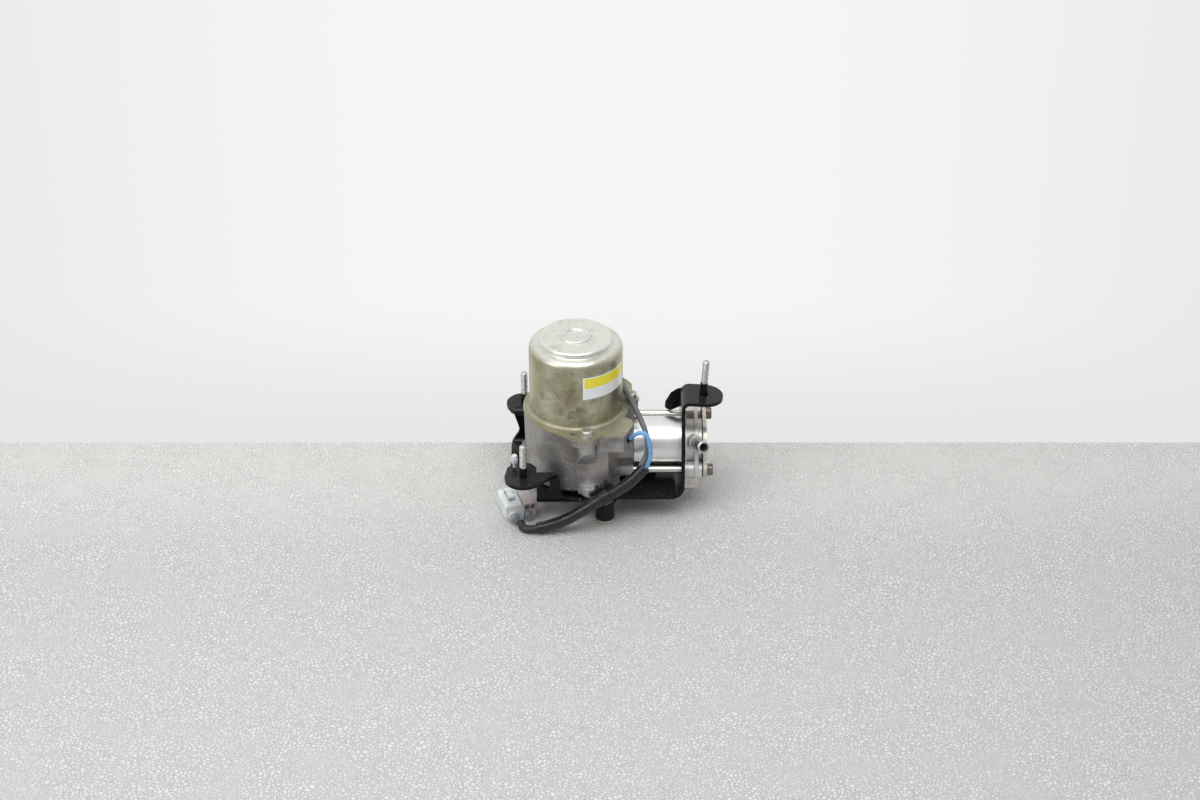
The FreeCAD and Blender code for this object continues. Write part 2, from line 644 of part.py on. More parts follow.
def cylinder_head():
    rim = rod(23.4, 1.7, on_barrel(HEAD_FACE), X_AXIS)
    body = rod(20.0, HEAD_END - HEAD_FACE, on_barrel(HEAD_FACE), X_AXIS)
    rib = two_lobes(7.6, HEAD_HUB_R + 3, *HEAD_RIB)
    columns = [rod(7.0, HEAD_END - HEAD_FACE, on_barrel(HEAD_FACE, y, z), X_AXIS)
               for y, z in bolt_points()]
    port_boss = prism([(HEAD_FACE, 24.0, 1.5), (PORT_END, 24.0, 1.5), (PORT_END, 36.0),
                       (HEAD_FACE, 36.0)], -28.0, -17.0, "XZ")
    along = (NIPPLE_TIP - NIPPLE_ROOT).normalize()
    socket_boss = rod(NIPPLE_ROOT_R + 1.1, 10.0, NIPPLE_ROOT - along * 8.0, along)
    shape = merged(rim, body, rib, port_boss, socket_boss, *columns)
    shape = shape.common(Part.makeBox(HEAD_END - HEAD_FACE, 100, 100, on_barrel(HEAD_FACE, -50, -50)))
    shape = shape.cut(rod(17.6, 2.0, on_barrel(HEAD_FACE), X_AXIS))
    shape = shape.cut(ring(19.6, 18.2, 1.0, on_barrel(HEAD_FACE), X_AXIS))
    chamber = rod(15.0, HEAD_END - HEAD_FACE - 2.0, on_barrel(HEAD_FACE + 2.0), X_AXIS)
    wall = Part.makeBox(HEAD_END - HEAD_FACE, 2.4, 40, on_barrel(HEAD_FACE + 2.3, -1.2, -20))
    shape = shape.cut(chamber.cut(wall))
    shape = shape.cut(rod(NIPPLE_ROOT_R, 14, NIPPLE_ROOT - along * NIPPLE_SUNK, along))
    shape = shape.cut(rod(NIPPLE_BORE, 9, NIPPLE_ROOT - along * 9.0, along))
    for y, z in bolt_points():
        shape = shape.cut(rod(BOLT_R + 0.2, 20, on_barrel(HEAD_FACE - 1, y, z), X_AXIS))
    return shape


def cover_gasket():
    shape = two_lobes(6.4, HEAD_HUB_R - 1, HEAD_END, HEAD_END + COVER_GASKET_T)
    shape = shape.cut(rod(15.0, 10, on_barrel(HEAD_END - 2), X_AXIS))
    for y, z in bolt_points():
        shape = shape.cut(rod(BOLT_R + 0.2, 10, on_barrel(HEAD_END - 2, y, z), X_AXIS))
    return shape


def cover_plate():
    low = HEAD_END + COVER_GASKET_T
    shape = two_lobes(7.4, HEAD_HUB_R, low, low + COVER_T)
    for y, z in bolt_points():
        shape = shape.cut(rod(BOLT_R + 0.2, 10, on_barrel(low - 2, y, z), X_AXIS))
    return shape


def tie_bolts():
    seat = HEAD_END + COVER_GASKET_T + COVER_T
    bolts = []
    for y, z in bolt_points():
        head = hexagon(10.0, seat, seat + 5.2, (y, BARREL_Z + z), "YZ")
        dome = turned([(0, 0), (5.2, 0), (5.2, 4.4), (4.4, 5.2), (0, 5.2)], on_barrel(seat, y, z), X_AXIS)
        shank = rod(BOLT_R, seat - (CASE_FACE - 10), on_barrel(CASE_FACE - 10, y, z), X_AXIS)
        bolts.append(merged(head.common(dome), shank))
    return Part.makeCompound(bolts)


def hose_nipple():
    """Plain tube with a thicker root; its rim is chamfered for the hose."""
    along = (NIPPLE_TIP - NIPPLE_ROOT).normalize()
    reach = (NIPPLE_TIP - NIPPLE_ROOT).Length
    chamfer = 0.6
    shoulder = reach - chamfer - NIPPLE_GRIP
    return turned([(NIPPLE_BORE, -NIPPLE_SUNK), (NIPPLE_ROOT_R, -NIPPLE_SUNK),
                   (NIPPLE_ROOT_R, shoulder), (NIPPLE_R, shoulder), (NIPPLE_R, reach - chamfer),
                   (NIPPLE_R - chamfer, reach), (NIPPLE_BORE, reach)], NIPPLE_ROOT, along)


def side_upright(sign):
    """Upright and ear at the front (-1) or rear (1) of the bracket's left end."""
    middle = SIDE_FRONT if sign < 0 else SIDE_REAR
    ear = EAR_FRONT if sign < 0 else EAR_REAR
    low = PLATE_LOW + PLATE_T / 2
    top = LOW_EAR_TOP - PLATE_T / 2
    bent = strip([(middle - sign * 16, low, 0), (middle, low, SIDE_BEND), (middle, top, SIDE_BEND),
                  (middle + sign * (SIDE_BEND + 1), top, 0)], -70, 20, "YZ")
    if sign < 0:
        edge = -33.6
        face = [(edge, 0), (edge, 70), (-17, 70), (-17, 51), (-14.4, 48, 2), (-12.8, 36), (-12, 27, 3),
                (2, 25.5, 2), (6, 21.5), (6, 0)]
        neck = [(-34.0, -69.9), (-17, -54.2, 1), (-17, -46), (edge, -43), (-39.3, -36.5, 2),
                (-52.2, -36.5, 2), (-58.5, -43.5, 2), (-60, -55)]
    else:
        edge = -55.4
        face = [(-58.0, 0), (-58.0, 22), (-50.6, 34, 9), (edge, 50, 6), (edge, 70), (-12, 70),
                (-12, 50, 4), (2, 40, 10), (8, 24), (8, 0)]
        neck = [(-59.0, 50.4), (edge, 46), (-12, 46), (-12, 56.0), (-16.5, 57.0, 3), (-35.0, 72.9),
                (-46.5, 61.7)]
    upright = bent.common(prism(face, middle - 20, middle + 20, "XZ"))
    flat = prism(neck, top - PLATE_T / 2, top + PLATE_T / 2)
    flat = flat.fuse(rod(EAR_R, PLATE_T, V(ear[0], ear[1], top - PLATE_T / 2)))
    behind = middle + sign * SIDE_BEND
    flat = flat.cut(Part.makeBox(60, 30, 10, V(edge, behind if sign < 0 else behind - 30, top - 5)))
    shape = upright.fuse(flat)
    if sign < 0:
        window = [(-31.8, 40.0, 0.8), (-22.1, 46.6, 0.8), (-22.2, 35.2, 0.8)]
        shape = shape.cut(prism(window, -60, -40, "XZ"))
    return shape


def right_arm():
    """Base, big bend, arm and drooping ear: one strip, trimmed in each of its flat parts."""
    droop = math.tan(math.radians(EAR_TILT))
    mid_arm = ARM_LEFT + PLATE_T / 2
    mid_ear = HIGH_EAR_TOP - PLATE_T / 2
    ear_x = EAR_RIGHT[0]
    bent = strip([(-58, PLATE_LOW + PLATE_T / 2, 0), (mid_arm, PLATE_LOW + PLATE_T / 2, BASE_BEND),
                  (mid_arm, mid_ear + (ear_x - mid_arm) * droop, 5.4),
                  (ear_x + 30, mid_ear - 30 * droop, 0)], -90, 90, "XZ")
    ear_y = EAR_RIGHT[1]
    ear = Part.makeBox(ear_x - 80, 2 * EAR_R, 20, V(80, ear_y - EAR_R, 97))
    ear = ear.fuse(rod(EAR_R, 20, V(ear_x, ear_y, 97)))
    arm = prism([(ear_y - EAR_R, 120), (ear_y - EAR_R, 96, 8), (-38, 66, 12), (BASE_FRONT, 44),
                 (BASE_FRONT, 0), (BASE_REAR, 0), (BASE_REAR, 40, 10), (33, 58, 8), (33, 74, 8),
                 (ear_y + EAR_R, 84, 6), (ear_y + EAR_R, 120)],
                72, 99, "YZ")
    base = [(-34, SIDE_FRONT + 5), (6, SIDE_FRONT + 5, 4), (14, BASE_FRONT, 6), (80, BASE_FRONT),
            (80, BASE_REAR), (16, BASE_REAR, 6), (6, SIDE_REAR - 5, 4), (-58, SIDE_REAR - 5),
            (-58, 32, 6), (-61, 20, 6), (-61, 8, 4), (-34, -4, 8)]
    plan = prism(base, 0, 60)
    for foot in (FOOT_FRONT, FOOT_REAR):
        plan = plan.fuse(rod(LUG_R, 60, V(foot[0], foot[1], 0)))
    shape = merged(bent.common(ear), bent.common(arm), bent.common(plan))
    return shape.cut(rod(SPIGOT_R + 0.1, 10, on_barrel(ARM_LEFT - 3), X_AXIS))


def wing():
    """Rear stiffening leaf of the arm, bent back towards the barrel, with a slanted slot."""
    leaf = prism([(0, 103), (5, 100.5, 3), (14, 92, 6), (21.5, 79, 4), (22, 72.5, 1.5), (15, 73.0, 2),
                  (8, 78.5, 4), (0, 85)], -PLATE_T / 2, PLATE_T / 2, "XZ")
    slot = prism([(12.6, 78.0, 1.2), (15.4, 76.4, 1.2), (18.4, 82.6, 1.2), (15.6, 84.2, 1.2)],
                 -5, 5, "XZ")
    leaf = leaf.cut(slot)
    leaf.rotate(V(0, 0, 0), Z_AXIS, 127)
    leaf.translate(V(ARM_LEFT + PLATE_T / 2 - 0.1, EAR_RIGHT[1] + EAR_R - 2.2, 0))
    return leaf


def bracket():
    shape = merged(right_arm(), side_upright(-1), side_upright(1), wing())
    for y, z in bolt_points():
        shape = shape.cut(rod(BOLT_R + 0.2, 10, on_barrel(ARM_LEFT - 3, y, z), X_AXIS))
    for x, y in (FOOT_FRONT, FOOT_REAR, FOOT_LEFT, FOOT_BARREL):
        shape = shape.cut(rod(5.0, 10, V(x, y, PLATE_LOW - 3)))
    for base, axis in stud_places():
        shape = shape.cut(rod(COLLAR_R, 12, base - axis * 8, axis))
    return shape


def stud_places():
    """Foot point on the ear's top face, and direction, of each stud."""
    lean = V(math.sin(math.radians(EAR_TILT)), 0, math.cos(math.radians(EAR_TILT)))
    return [(V(EAR_FRONT[0], EAR_FRONT[1], LOW_EAR_TOP), Z_AXIS),
            (V(EAR_REAR[0], EAR_REAR[1], LOW_EAR_TOP), Z_AXIS),
            (V(EAR_RIGHT[0], EAR_RIGHT[1], HIGH_EAR_TOP), lean)]


def stud(base, axis, collar):
    """Stud with a pressed head under the ear, a collar and a chamfered tip."""
    end = collar + STUD_GRIP
    return turned([(0, -PLATE_T - 2.2), (5.5, -PLATE_T - 2.2, 0.8), (5.5, -PLATE_T),
                   (COLLAR_R, -PLATE_T), (COLLAR_R, collar), (STUD_R, collar), (STUD_R, end),
                   (STUD_R - 1, end + 1), (0, end + 1)], base, axis)


def isolators():
    """Rubber feet with a waist that grips the bracket's base."""
    bushes, washers, bolts = [], [], []
    for x, y in (FOOT_FRONT, FOOT_REAR, FOOT_LEFT, FOOT_BARREL):
        low = FOOT_HEAD + WASHER_T
        top = CASE_LOW if (x, y) != FOOT_BARREL else PLATE_LOW + PLATE_T + 4
        bush = turned([(FOOT_BOLT_R, low), (FOOT_R, low, 1), (FOOT_R, PLATE_LOW), (5.0, PLATE_LOW),
                       (5.0, PLATE_LOW + PLATE_T), (FOOT_R, PLATE_LOW + PLATE_T),
                       (FOOT_R, top), (FOOT_BOLT_R, top)])
        washer = ring(FOOT_R + 0.9, FOOT_BOLT_R, WASHER_T, V(0, 0, FOOT_HEAD))
        head = turned([(0, 0), (4.4, 0), (4.8, FOOT_HEAD), (0, FOOT_HEAD)])
        end = CASE_LOW + 5 if (x, y) != FOOT_BARREL else top
        bolt = merged(head, rod(FOOT_BOLT_R, end - FOOT_HEAD, V(0, 0, FOOT_HEAD)))
        for group, item in ((bushes, bush), (washers, washer), (bolts, bolt)):
            item.translate(V(x, y, 0))
            group.append(item)
    return Part.makeCompound(bushes), Part.makeCompound(washers), Part.makeCompound(bolts)


def cord(route, radius):
    """Round cord along straight runs joined by tangent arcs."""
    points = [V(*p) for p in route]
    edges = []
    last = points[0]
    radii = []
    for before, here, after in zip(points, points[1:], points[2:]):
        run_in = here - before
        run_out = after - here
        turn = run_in.getAngle(run_out)
        bend = 0.45 * min(run_in.Length, run_out.Length) / math.tan(turn / 2)
        radii.append(bend / (2 * radius))
        reach = bend * math.tan(turn / 2)
        to_before = run_in.normalize() * -1
        to_after = run_out.normalize()
        start = here + to_before * reach
        end = here + to_after * reach
        inward = (to_before + to_after).normalize()
        middle = here + inward * (bend / math.cos(turn / 2) - bend)
        edges.append(Part.LineSegment(last, start).toShape())
        edges.append(Part.Arc(start, middle, end).toShape())
        last = end
    edges.append(Part.LineSegment(last, points[-1]).toShape())
    path = Part.Wire(edges)
    section = Part.Wire([Part.Circle(points[0], points[1] - points[0], radius).toShape()])
    solid = path.makePipeShell([section], True, False)
    print("cord of radius", radius, "smallest bend in diameters", round(min(radii), 1),
          "volume ratio", round(solid.Volume / (math.pi * radius ** 2 * path.Length), 3))
    return solid


def harness_clip():
    """Ladder clip: a band round the sheath, a rail beside it and two catches on the case's ledge."""
    a = V(*SHEATH_ROUTE[CLIP_SPAN])
    b = V(*SHEATH_ROUTE[CLIP_SPAN + 1])
    along = (b - a).normalize()
    centre = a + (b - a) * 0.62
    band = ring(SHEATH_R + 1.5, SHEATH_R + 0.1, 8.0, centre - along * 4.0, along)
    rail = Part.makeBox(22.0, 3.2, 3.4, V(-11.0, -1.6, -1.7))
    rail.rotate(V(0, 0, 0), Y_AXIS, -31.4)
    rail.translate(V(21.4, -53.6, 39.4))
    catches = [Part.makeBox(4.0, 3.4, 6.4, V(x - 2.0, -55.2, z - 4.0))
               for x, z in ((18.0, 40.4), (25.7, 45.6))]
    tongue = Part.makeBox(8, 8, 1.6, V(20.4, -54.0, LUG_TOP))
    shape = merged(band, rail, tongue, *catches)
    return shape.cut(rod(SHEATH_R + 0.1, 50, centre - along * 25, along))


def at_connector(shape):
    """Turns and moves a piece drawn with its wire side along +X onto the connector's place."""
    shape.rotate(V(0, 0, 0), Z_AXIS, CONNECTOR_TURN)
    shape.translate(CONNECTOR_AT)
    return shape


def connector_housing():
    body = prism([(-8, 0, 2), (8, 0, 2), (8, 15.5, 2.5), (-8, 15.5, 2.5)], -15, 13, "YZ")
    mouth = prism([(-6, 2, 1), (6, 2, 1), (6, 12, 1), (-6, 12, 1)], -15, -5, "YZ")
    latch = Part.makeBox(15, 5, 2.2, V(-13, -2.5, 15.5))
    ramp = prism([(-12, -3.6), (6, -3.6), (6, 3.6), (-12, 3.6)], 13.6, 16)
    collar = rod(4.6, 2.4, V(13, -1.5, 5.4), X_AXIS)
    return at_connector(merged(body.cut(mouth).cut(ramp), latch, collar))


def connector_retainer():
    shape = prism([(8.3, 0.4, 1.2), (19, 0.4, 1.2), (19, 14.6, 1.2), (8.3, 14.6, 1.2)], -11, 12, "YZ")
    for side in (9.3, 14.1):
        shape = shape.cut(Part.makeBox(6, 4.0, 4.6, V(7, side, 8.6)))
    return at_connector(shape)


def wire_seals():
    seals = [rod(4.0, 5.0, V(15.4, -1.5, 5.4), X_AXIS), rod(3.4, 5.5, V(12.0, 11.6, 3.9), X_AXIS)]
    grooved = []
    for seal in seals:
        grooved.append(at_connector(seal))
    return Part.makeCompound(grooved)


def ear_clip():
    """Small white anchor on the tab behind the front ear."""
    x, y = EAR_CLIP
    stem = rod(1.5, 6.0, V(x, y, LOW_EAR_TOP))
    head = turned([(0, 0), (2.4, 0, 0.8), (3.1, 4.0, 1.2), (2.4, 8.4, 1.0), (0, 8.4)],
                  V(x, y, LOW_EAR_TOP + 3.6))
    return merged(stem, head)


def build():
    """All pieces by name, about the motor axis."""
    upper = bearing_parts(CAN_TOP - CAN_T - 8.2)
    lower = bearing_parts(CASE_TOP - BEARING_W)
    brush_plate, brush_holders, brushes, springs = brush_gear()
    bushes, washers, bolts = isolators()
    pieces = {
        "motor_can": motor_can(), "can_sticker": sticker(), "flange_screws": flange_screws(),
        "bearing_cup": bearing_cup(), "upper_bearing_outer": upper[0],
        "lower_bearing_outer": lower[0], "motor_end_plate": motor_end_plate(),
        "field_magnets": magnets(), "brush_plate": brush_plate, "brush_holders": brush_holders,
        "carbon_brushes": brushes, "brush_springs": springs,
        "motor_shaft": motor_shaft(), "upper_bearing_inner": upper[1], "upper_bearing_balls": upper[2],
        "lower_bearing_inner": lower[1], "lower_bearing_balls": lower[2],
        "armature_core": armature_core(), "armature_windings": armature_windings(),
        "commutator": commutator(), "crank_disc": crank_disc(),
        "con_rod": con_rod(), "big_end_bearing": big_end_bearing(),
        "small_end_bush": small_end_bush(), "crank_pin": crank_pin(),
        "piston": piston(), "piston_ring": piston_ring(), "gudgeon_pin": gudgeon_pin(),
        "pin_circlips": circlips(),
        "crankcase": crankcase(), "barrel_gasket": barrel_gasket(),
        "cylinder_barrel": cylinder_barrel(), "head_o_ring": head_o_ring(),
        "valve_plate": valve_plate(), "inlet_reed": reed(-1, HEAD_FACE + 2.0),
        "outlet_reed": reed(1, HEAD_FACE + 2.0),
        "cylinder_head": cylinder_head(), "cover_gasket": cover_gasket(),
        "cover_plate": cover_plate(), "tie_bolts": tie_bolts(), "hose_nipple": hose_nipple(),
        "bracket": bracket(), "isolator_feet": bushes, "foot_washers": washers, "foot_bolts": bolts,
        "blue_grommet": blue_grommet(), "grey_grommet": grey_grommet(),
        "wire_blue": cord(BLUE_ROUTE, BLUE_R), "wire_grey": cord(GREY_ROUTE, GREY_R),
        "harness_sheath": cord(SHEATH_ROUTE, SHEATH_R), "harness_tail": cord(TAIL_ROUTE, TAIL_R),
        "harness_clip": harness_clip(), "ear_clip": ear_clip(),
        "connector_housing": connector_housing(), "connector_retainer": connector_retainer(),
        "wire_seals": wire_seals(),
    }
    names = ("stud_front", "stud_rear", "stud_right")
    for name, (base, axis), collar in zip(names, stud_places(), STUD_COLLARS):
        pieces[name] = stud(base, axis, collar)
    return pieces


def main():
    os.makedirs("parts", exist_ok=True)
    for name, shape in build().items():
        shape.translate(ORIGIN * -1)
        shape.exportStep(os.path.join("parts", name + ".step"))
        if not shape.isValid():
            print("not valid:", name)
    print("origin under", ORIGIN)


main()
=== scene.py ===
"""Looks of the electric vacuum pump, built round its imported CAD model.

Everything is in metres. The motor axis stands at AXIS, +X runs along the barrel and +Z is up.
"""

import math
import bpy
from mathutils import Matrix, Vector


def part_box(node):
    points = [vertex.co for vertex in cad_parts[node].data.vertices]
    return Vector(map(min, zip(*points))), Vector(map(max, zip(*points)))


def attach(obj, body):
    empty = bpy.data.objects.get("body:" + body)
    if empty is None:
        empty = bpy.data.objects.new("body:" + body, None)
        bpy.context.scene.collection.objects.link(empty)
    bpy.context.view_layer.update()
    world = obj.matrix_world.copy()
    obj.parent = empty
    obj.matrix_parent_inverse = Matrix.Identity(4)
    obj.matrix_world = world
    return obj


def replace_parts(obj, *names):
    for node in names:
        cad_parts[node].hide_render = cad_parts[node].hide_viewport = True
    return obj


bl_info = {
    "name": "Electric vacuum pump",
    "version": (1, 0, 0),
    "blender": (4, 5, 0),
    "location": "3D View > Sidebar > Pump",
    "description": "Dresses a motor-driven piston vacuum pump and sets it on a studio floor",
    "category": "Object",
}

import bpy
from mathutils import Matrix, Vector, noise

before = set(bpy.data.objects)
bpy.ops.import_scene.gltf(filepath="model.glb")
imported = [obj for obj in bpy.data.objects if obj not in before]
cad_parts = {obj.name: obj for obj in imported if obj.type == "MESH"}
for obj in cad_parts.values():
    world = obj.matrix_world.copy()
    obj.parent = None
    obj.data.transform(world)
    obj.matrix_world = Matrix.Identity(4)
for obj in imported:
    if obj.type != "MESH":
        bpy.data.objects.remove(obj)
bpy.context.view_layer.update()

SHAFT_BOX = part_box("motor_shaft")
AXIS = Vector((*((SHAFT_BOX[0] + SHAFT_BOX[1]) / 2).xy, 0.0))
EAR_LEAN = math.radians(3.5)

BLUE_ROUTE = [(.0460, -.0425, .0840), (.0486, -.0438, .0876), (.0516, -.0470, .0918),
              (.0554, -.0490, .0943), (.0598, -.0506, .0930), (.0622, -.0515, .0864),
              (.0634, -.0518, .0772), (.0630, -.0513, .0684), (.0600, -.0506, .0596)]
GREY_ROUTE = [(.0390, .0296, .0974), (.0400, .0230, .0990), (.0416, .0140, .0996),
              (.0446, .0046, .0988), (.0489, -.0050, .0956), (.0531, -.0145, .0914),
              (.0566, -.0245, .0882), (.0594, -.0340, .0852), (.0613, -.0415, .0804),
              (.0610, -.0460, .0740), (.0586, -.0486, .0670), (.0552, -.0501, .0612)]
SHEATH_ROUTE = [(.0586, -.0504, .0600), (.0522, -.0528, .0524), (.0436, -.0550, .0456),
                (.0330, -.0572, .0394), (.0206, -.0592, .0324), (.0074, -.0608, .0236),
                (-.0064, -.0618, .0148), (-.0200, -.0624, .0084), (-.0330, -.0628, .0056)]
TAIL_ROUTE = [(-.0330, -.0628, .0056), (-.0395, -.0630, .0042), (-.0442, -.0610, .0040),
              (-.0469, -.0572, .0044), (-.0478, -.0532, .0050)]


# Small helpers for node trees

def add(tree, kind, inputs=None, **settings):
    """New node with its settings, and inputs given as values or as sockets to link from."""
    made = tree.nodes.new(kind)
    for key, value in settings.items():
        setattr(made, key, value)
    for key, value in (inputs or {}).items():
        if isinstance(value, bpy.types.NodeSocket):
            tree.links.new(value, made.inputs[key])
        else:
            made.inputs[key].default_value = value
    return made


def maths(tree, operation, a, b=0.0, clamp=False):
    made = add(tree, "ShaderNodeMath", {0: a, 1: b}, operation=operation, use_clamp=clamp)
    return made.outputs[0]


def times(tree, a, b, clamp=False):
    return maths(tree, "MULTIPLY", a, b, clamp)


def plus(tree, a, b):
    return maths(tree, "ADD", a, b)


def remap(tree, value, low, high, to_low=0.0, to_high=1.0):
    made = add(tree, "ShaderNodeMapRange", {"Value": value, "From Min": low, "From Max": high,
                                            "To Min": to_low, "To Max": to_high},
               interpolation_type="SMOOTHSTEP")
    return made.outputs["Result"]


def mixed(tree, share, a, b):
    """Colour a turning into b by share."""
    made = add(tree, "ShaderNodeMix", data_type="RGBA")
    for socket, value in zip((made.inputs[0], made.inputs[6], made.inputs[7]), (share, a, b)):
        if isinstance(value, bpy.types.NodeSocket):
            tree.links.new(value, socket)
        else:
            socket.default_value = value if isinstance(value, float) else (*value, 1.0)
    return made.outputs[2]


def noise_at(tree, vector, scale, detail=3.0, roughness=0.55):
    made = add(tree, "ShaderNodeTexNoise", {"Vector": vector, "Scale": scale, "Detail": detail,
                                            "Roughness": roughness})
    return made.outputs["Fac"]


def object_place(tree):
    """Place of the shaded point, in metres."""
    return add(tree, "ShaderNodeTexCoord").outputs["Object"]


def surface_normal(tree):
    return add(tree, "ShaderNodeNewGeometry").outputs["Normal"]


def new_group(name, inputs, outputs, vectors=()):
    """Shader node group with named float inputs, float outputs and vector outputs."""
    tree = bpy.data.node_groups.new(name, "ShaderNodeTree")
    for label, value in inputs:
        socket = tree.interface.new_socket(label, in_out="INPUT", socket_type="NodeSocketFloat")
        socket.default_value = value
    for label in outputs:
        tree.interface.new_socket(label, in_out="OUTPUT", socket_type="NodeSocketFloat")
    for label in vectors:
        tree.interface.new_socket(label, in_out="OUTPUT", socket_type="NodeSocketVector")
    return tree, tree.nodes.new("NodeGroupInput").outputs, tree.nodes.new("NodeGroupOutput").inputs


# Shared effects

def grime_group():
    """Blotchy dirt: broad patches broken up by fine grain."""
    tree, given, out = new_group("blotchy_grime", [("Patch Scale", 60.0), ("Grain Scale", 900.0),
                                                   ("Cover", 0.4)], ["Mask"])
    place = object_place(tree)
    patch = noise_at(tree, place, given["Patch Scale"], 4.0)
    grain = noise_at(tree, place, given["Grain Scale"], 6.0, 0.7)
    both = plus(tree, times(tree, patch, 0.6), times(tree, grain, 0.4))
    level = maths(tree, "SUBTRACT", 0.72, times(tree, given["Cover"], 0.4))
    mask = times(tree, maths(tree, "SUBTRACT", both, level), 9.0, True)
    tree.links.new(mask, out["Mask"])
    return tree


def speckle_group():
    """Scattered small spots, as of rust bloom or splashes."""
    tree, given, out = new_group("fine_speckle", [("Scale", 700.0), ("Cover", 0.3)], ["Mask"])
    place = object_place(tree)
    cells = add(tree, "ShaderNodeTexVoronoi", {"Vector": place, "Scale": given["Scale"]})
    spots = maths(tree, "SUBTRACT", 0.42, cells.outputs["Distance"])
    patch = noise_at(tree, place, 110.0, 3.0)
    drift = maths(tree, "SUBTRACT", patch, maths(tree, "SUBTRACT", 0.75, given["Cover"]))
    mask = times(tree, times(tree, spots, drift), 40.0, True)
    tree.links.new(mask, out["Mask"])
    return tree


def edge_group():
    """Edge mask for wear, and for a painted highlight on edges, found from the turn of the surface
    within a radius, and a normal that shades those edges as rounded."""
    tree, given, out = new_group("edge_wear_and_highlight", [("Radius", 0.0006), ("Strength", 3.0)], ["Mask"],
                                 ["Rounded"])
    rounded = add(tree, "ShaderNodeBevel", {"Radius": given["Radius"]}, samples=4)
    tree.links.new(rounded.outputs[0], out["Rounded"])
    flat = surface_normal(tree)
    facing = add(tree, "ShaderNodeVectorMath", {0: rounded.outputs[0], 1: flat},
                 operation="DOT_PRODUCT").outputs["Value"]
    turn = times(tree, maths(tree, "SUBTRACT", 1.0, facing), given["Strength"])
    place = object_place(tree)
    broken = remap(tree, noise_at(tree, place, 450.0, 4.0), 0.35, 0.6)
    tree.links.new(times(tree, turn, broken, True), out["Mask"])
    return tree


def cast_group():
    """Skin of a sand or die casting: fine grain with a few pits."""
    tree, given, out = new_group("cast_skin", [("Scale", 1400.0)], ["Height", "Tone"])
    place = object_place(tree)
    grain = noise_at(tree, place, given["Scale"], 5.0, 0.65)
    pits = add(tree, "ShaderNodeTexVoronoi", {"Vector": place,
                                              "Scale": times(tree, given["Scale"], 0.3)})
    pit = remap(tree, pits.outputs["Distance"], 0.0, 0.35)
    height = plus(tree, times(tree, grain, 0.7), times(tree, pit, 0.3))
    tree.links.new(height, out["Height"])
    tree.links.new(noise_at(tree, place, 38.0, 5.0), out["Tone"])
    return tree


def lines_group():
    """Fine tool or drawing lines: noise stretched by a scale for each axis."""
    tree, given, out = new_group("tool_lines", [("Across X", 1.0), ("Across Y", 1.0),
                                                ("Across Z", 1.0)], ["Value"])
    place = object_place(tree)
    stretch = add(tree, "ShaderNodeCombineXYZ", {0: given["Across X"], 1: given["Across Y"],
                                                 2: given["Across Z"]}).outputs[0]
    scaled = add(tree, "ShaderNodeVectorMath", {0: place, 1: stretch}, operation="MULTIPLY")
    tree.links.new(noise_at(tree, scaled.outputs[0], 1.0, 4.0, 0.6), out["Value"])
    return tree


def dust_and_sheen_group():
    """Dust that lies on what faces up, which also serves as a painted sheen that lightens up-facing
    faces.
    """
    tree, given, out = new_group("settled_dust_and_sheen", [("Amount", 0.3), ("Scale", 300.0)], ["Mask"])
    normal = surface_normal(tree)
    up = remap(tree, add(tree, "ShaderNodeSeparateXYZ", {0: normal}).outputs[2], 0.35, 1.0)
    place = object_place(tree)
    drift = remap(tree, noise_at(tree, place, given["Scale"], 6.0, 0.7), 0.3, 0.7)
    mask = times(tree, times(tree, up, drift), given["Amount"], True)
    tree.links.new(mask, out["Mask"])
    return tree


GROUP_MAKERS = {"blotchy_grime": grime_group, "fine_speckle": speckle_group,
                "edge_wear_and_highlight": edge_group, "cast_skin": cast_group,
                "tool_lines": lines_group, "settled_dust_and_sheen": dust_and_sheen_group}


def effect(tree, name, **values):
    """Places a shared effect in a material and returns its outputs."""
    group = bpy.data.node_groups.get(name) or GROUP_MAKERS[name]()
    made = add(tree, "ShaderNodeGroup", node_tree=group)
    for key, value in values.items():
        made.inputs[key.replace("_", " ").title()].default_value = value
    return made.outputs


def grime_mask(tree, patch_scale, grain_scale, cover):
    return effect(tree, "blotchy_grime", patch_scale=patch_scale, grain_scale=grain_scale,
                  cover=cover)["Mask"]


# Finishes

def blank(name, metallic=0.0, **sockets):
    """Material with a Principled shader, its plain sockets set; returns material, tree, shader."""
    material = bpy.data.materials.new(name)
    material.use_nodes = True
    tree = material.node_tree
    shader = tree.nodes["Principled BSDF"]
    shader.inputs["Metallic"].default_value = metallic
    for key, value in sockets.items():
        shader.inputs[key].default_value = value
    return material, tree, shader


def colour_to(tree, shader, socket):
    tree.links.new(socket, shader.inputs["Base Color"])


def rough_to(tree, shader, value, low, high):
    """Roughness that runs from low to high as value goes from 0 to 1."""
    made = add(tree, "ShaderNodeMapRange", {"Value": value, "To Min": low, "To Max": high})
    tree.links.new(made.outputs["Result"], shader.inputs["Roughness"])


def bump_to(tree, shader, height, distance, strength=1.0, edges=None):
    """Bump, on edges that are shaded as rounded when the edge effect is given."""
    bump = add(tree, "ShaderNodeBump", {"Height": height, "Distance": distance,
                                        "Strength": strength})
    if edges:
        tree.links.new(edges["Rounded"], bump.inputs["Normal"])
    tree.links.new(bump.outputs["Normal"], shader.inputs["Normal"])


def in_frame(tree):
    """X, Y and Z of the shaded point."""
    place = object_place(tree)
    return add(tree, "ShaderNodeSeparateXYZ", {0: place}).outputs


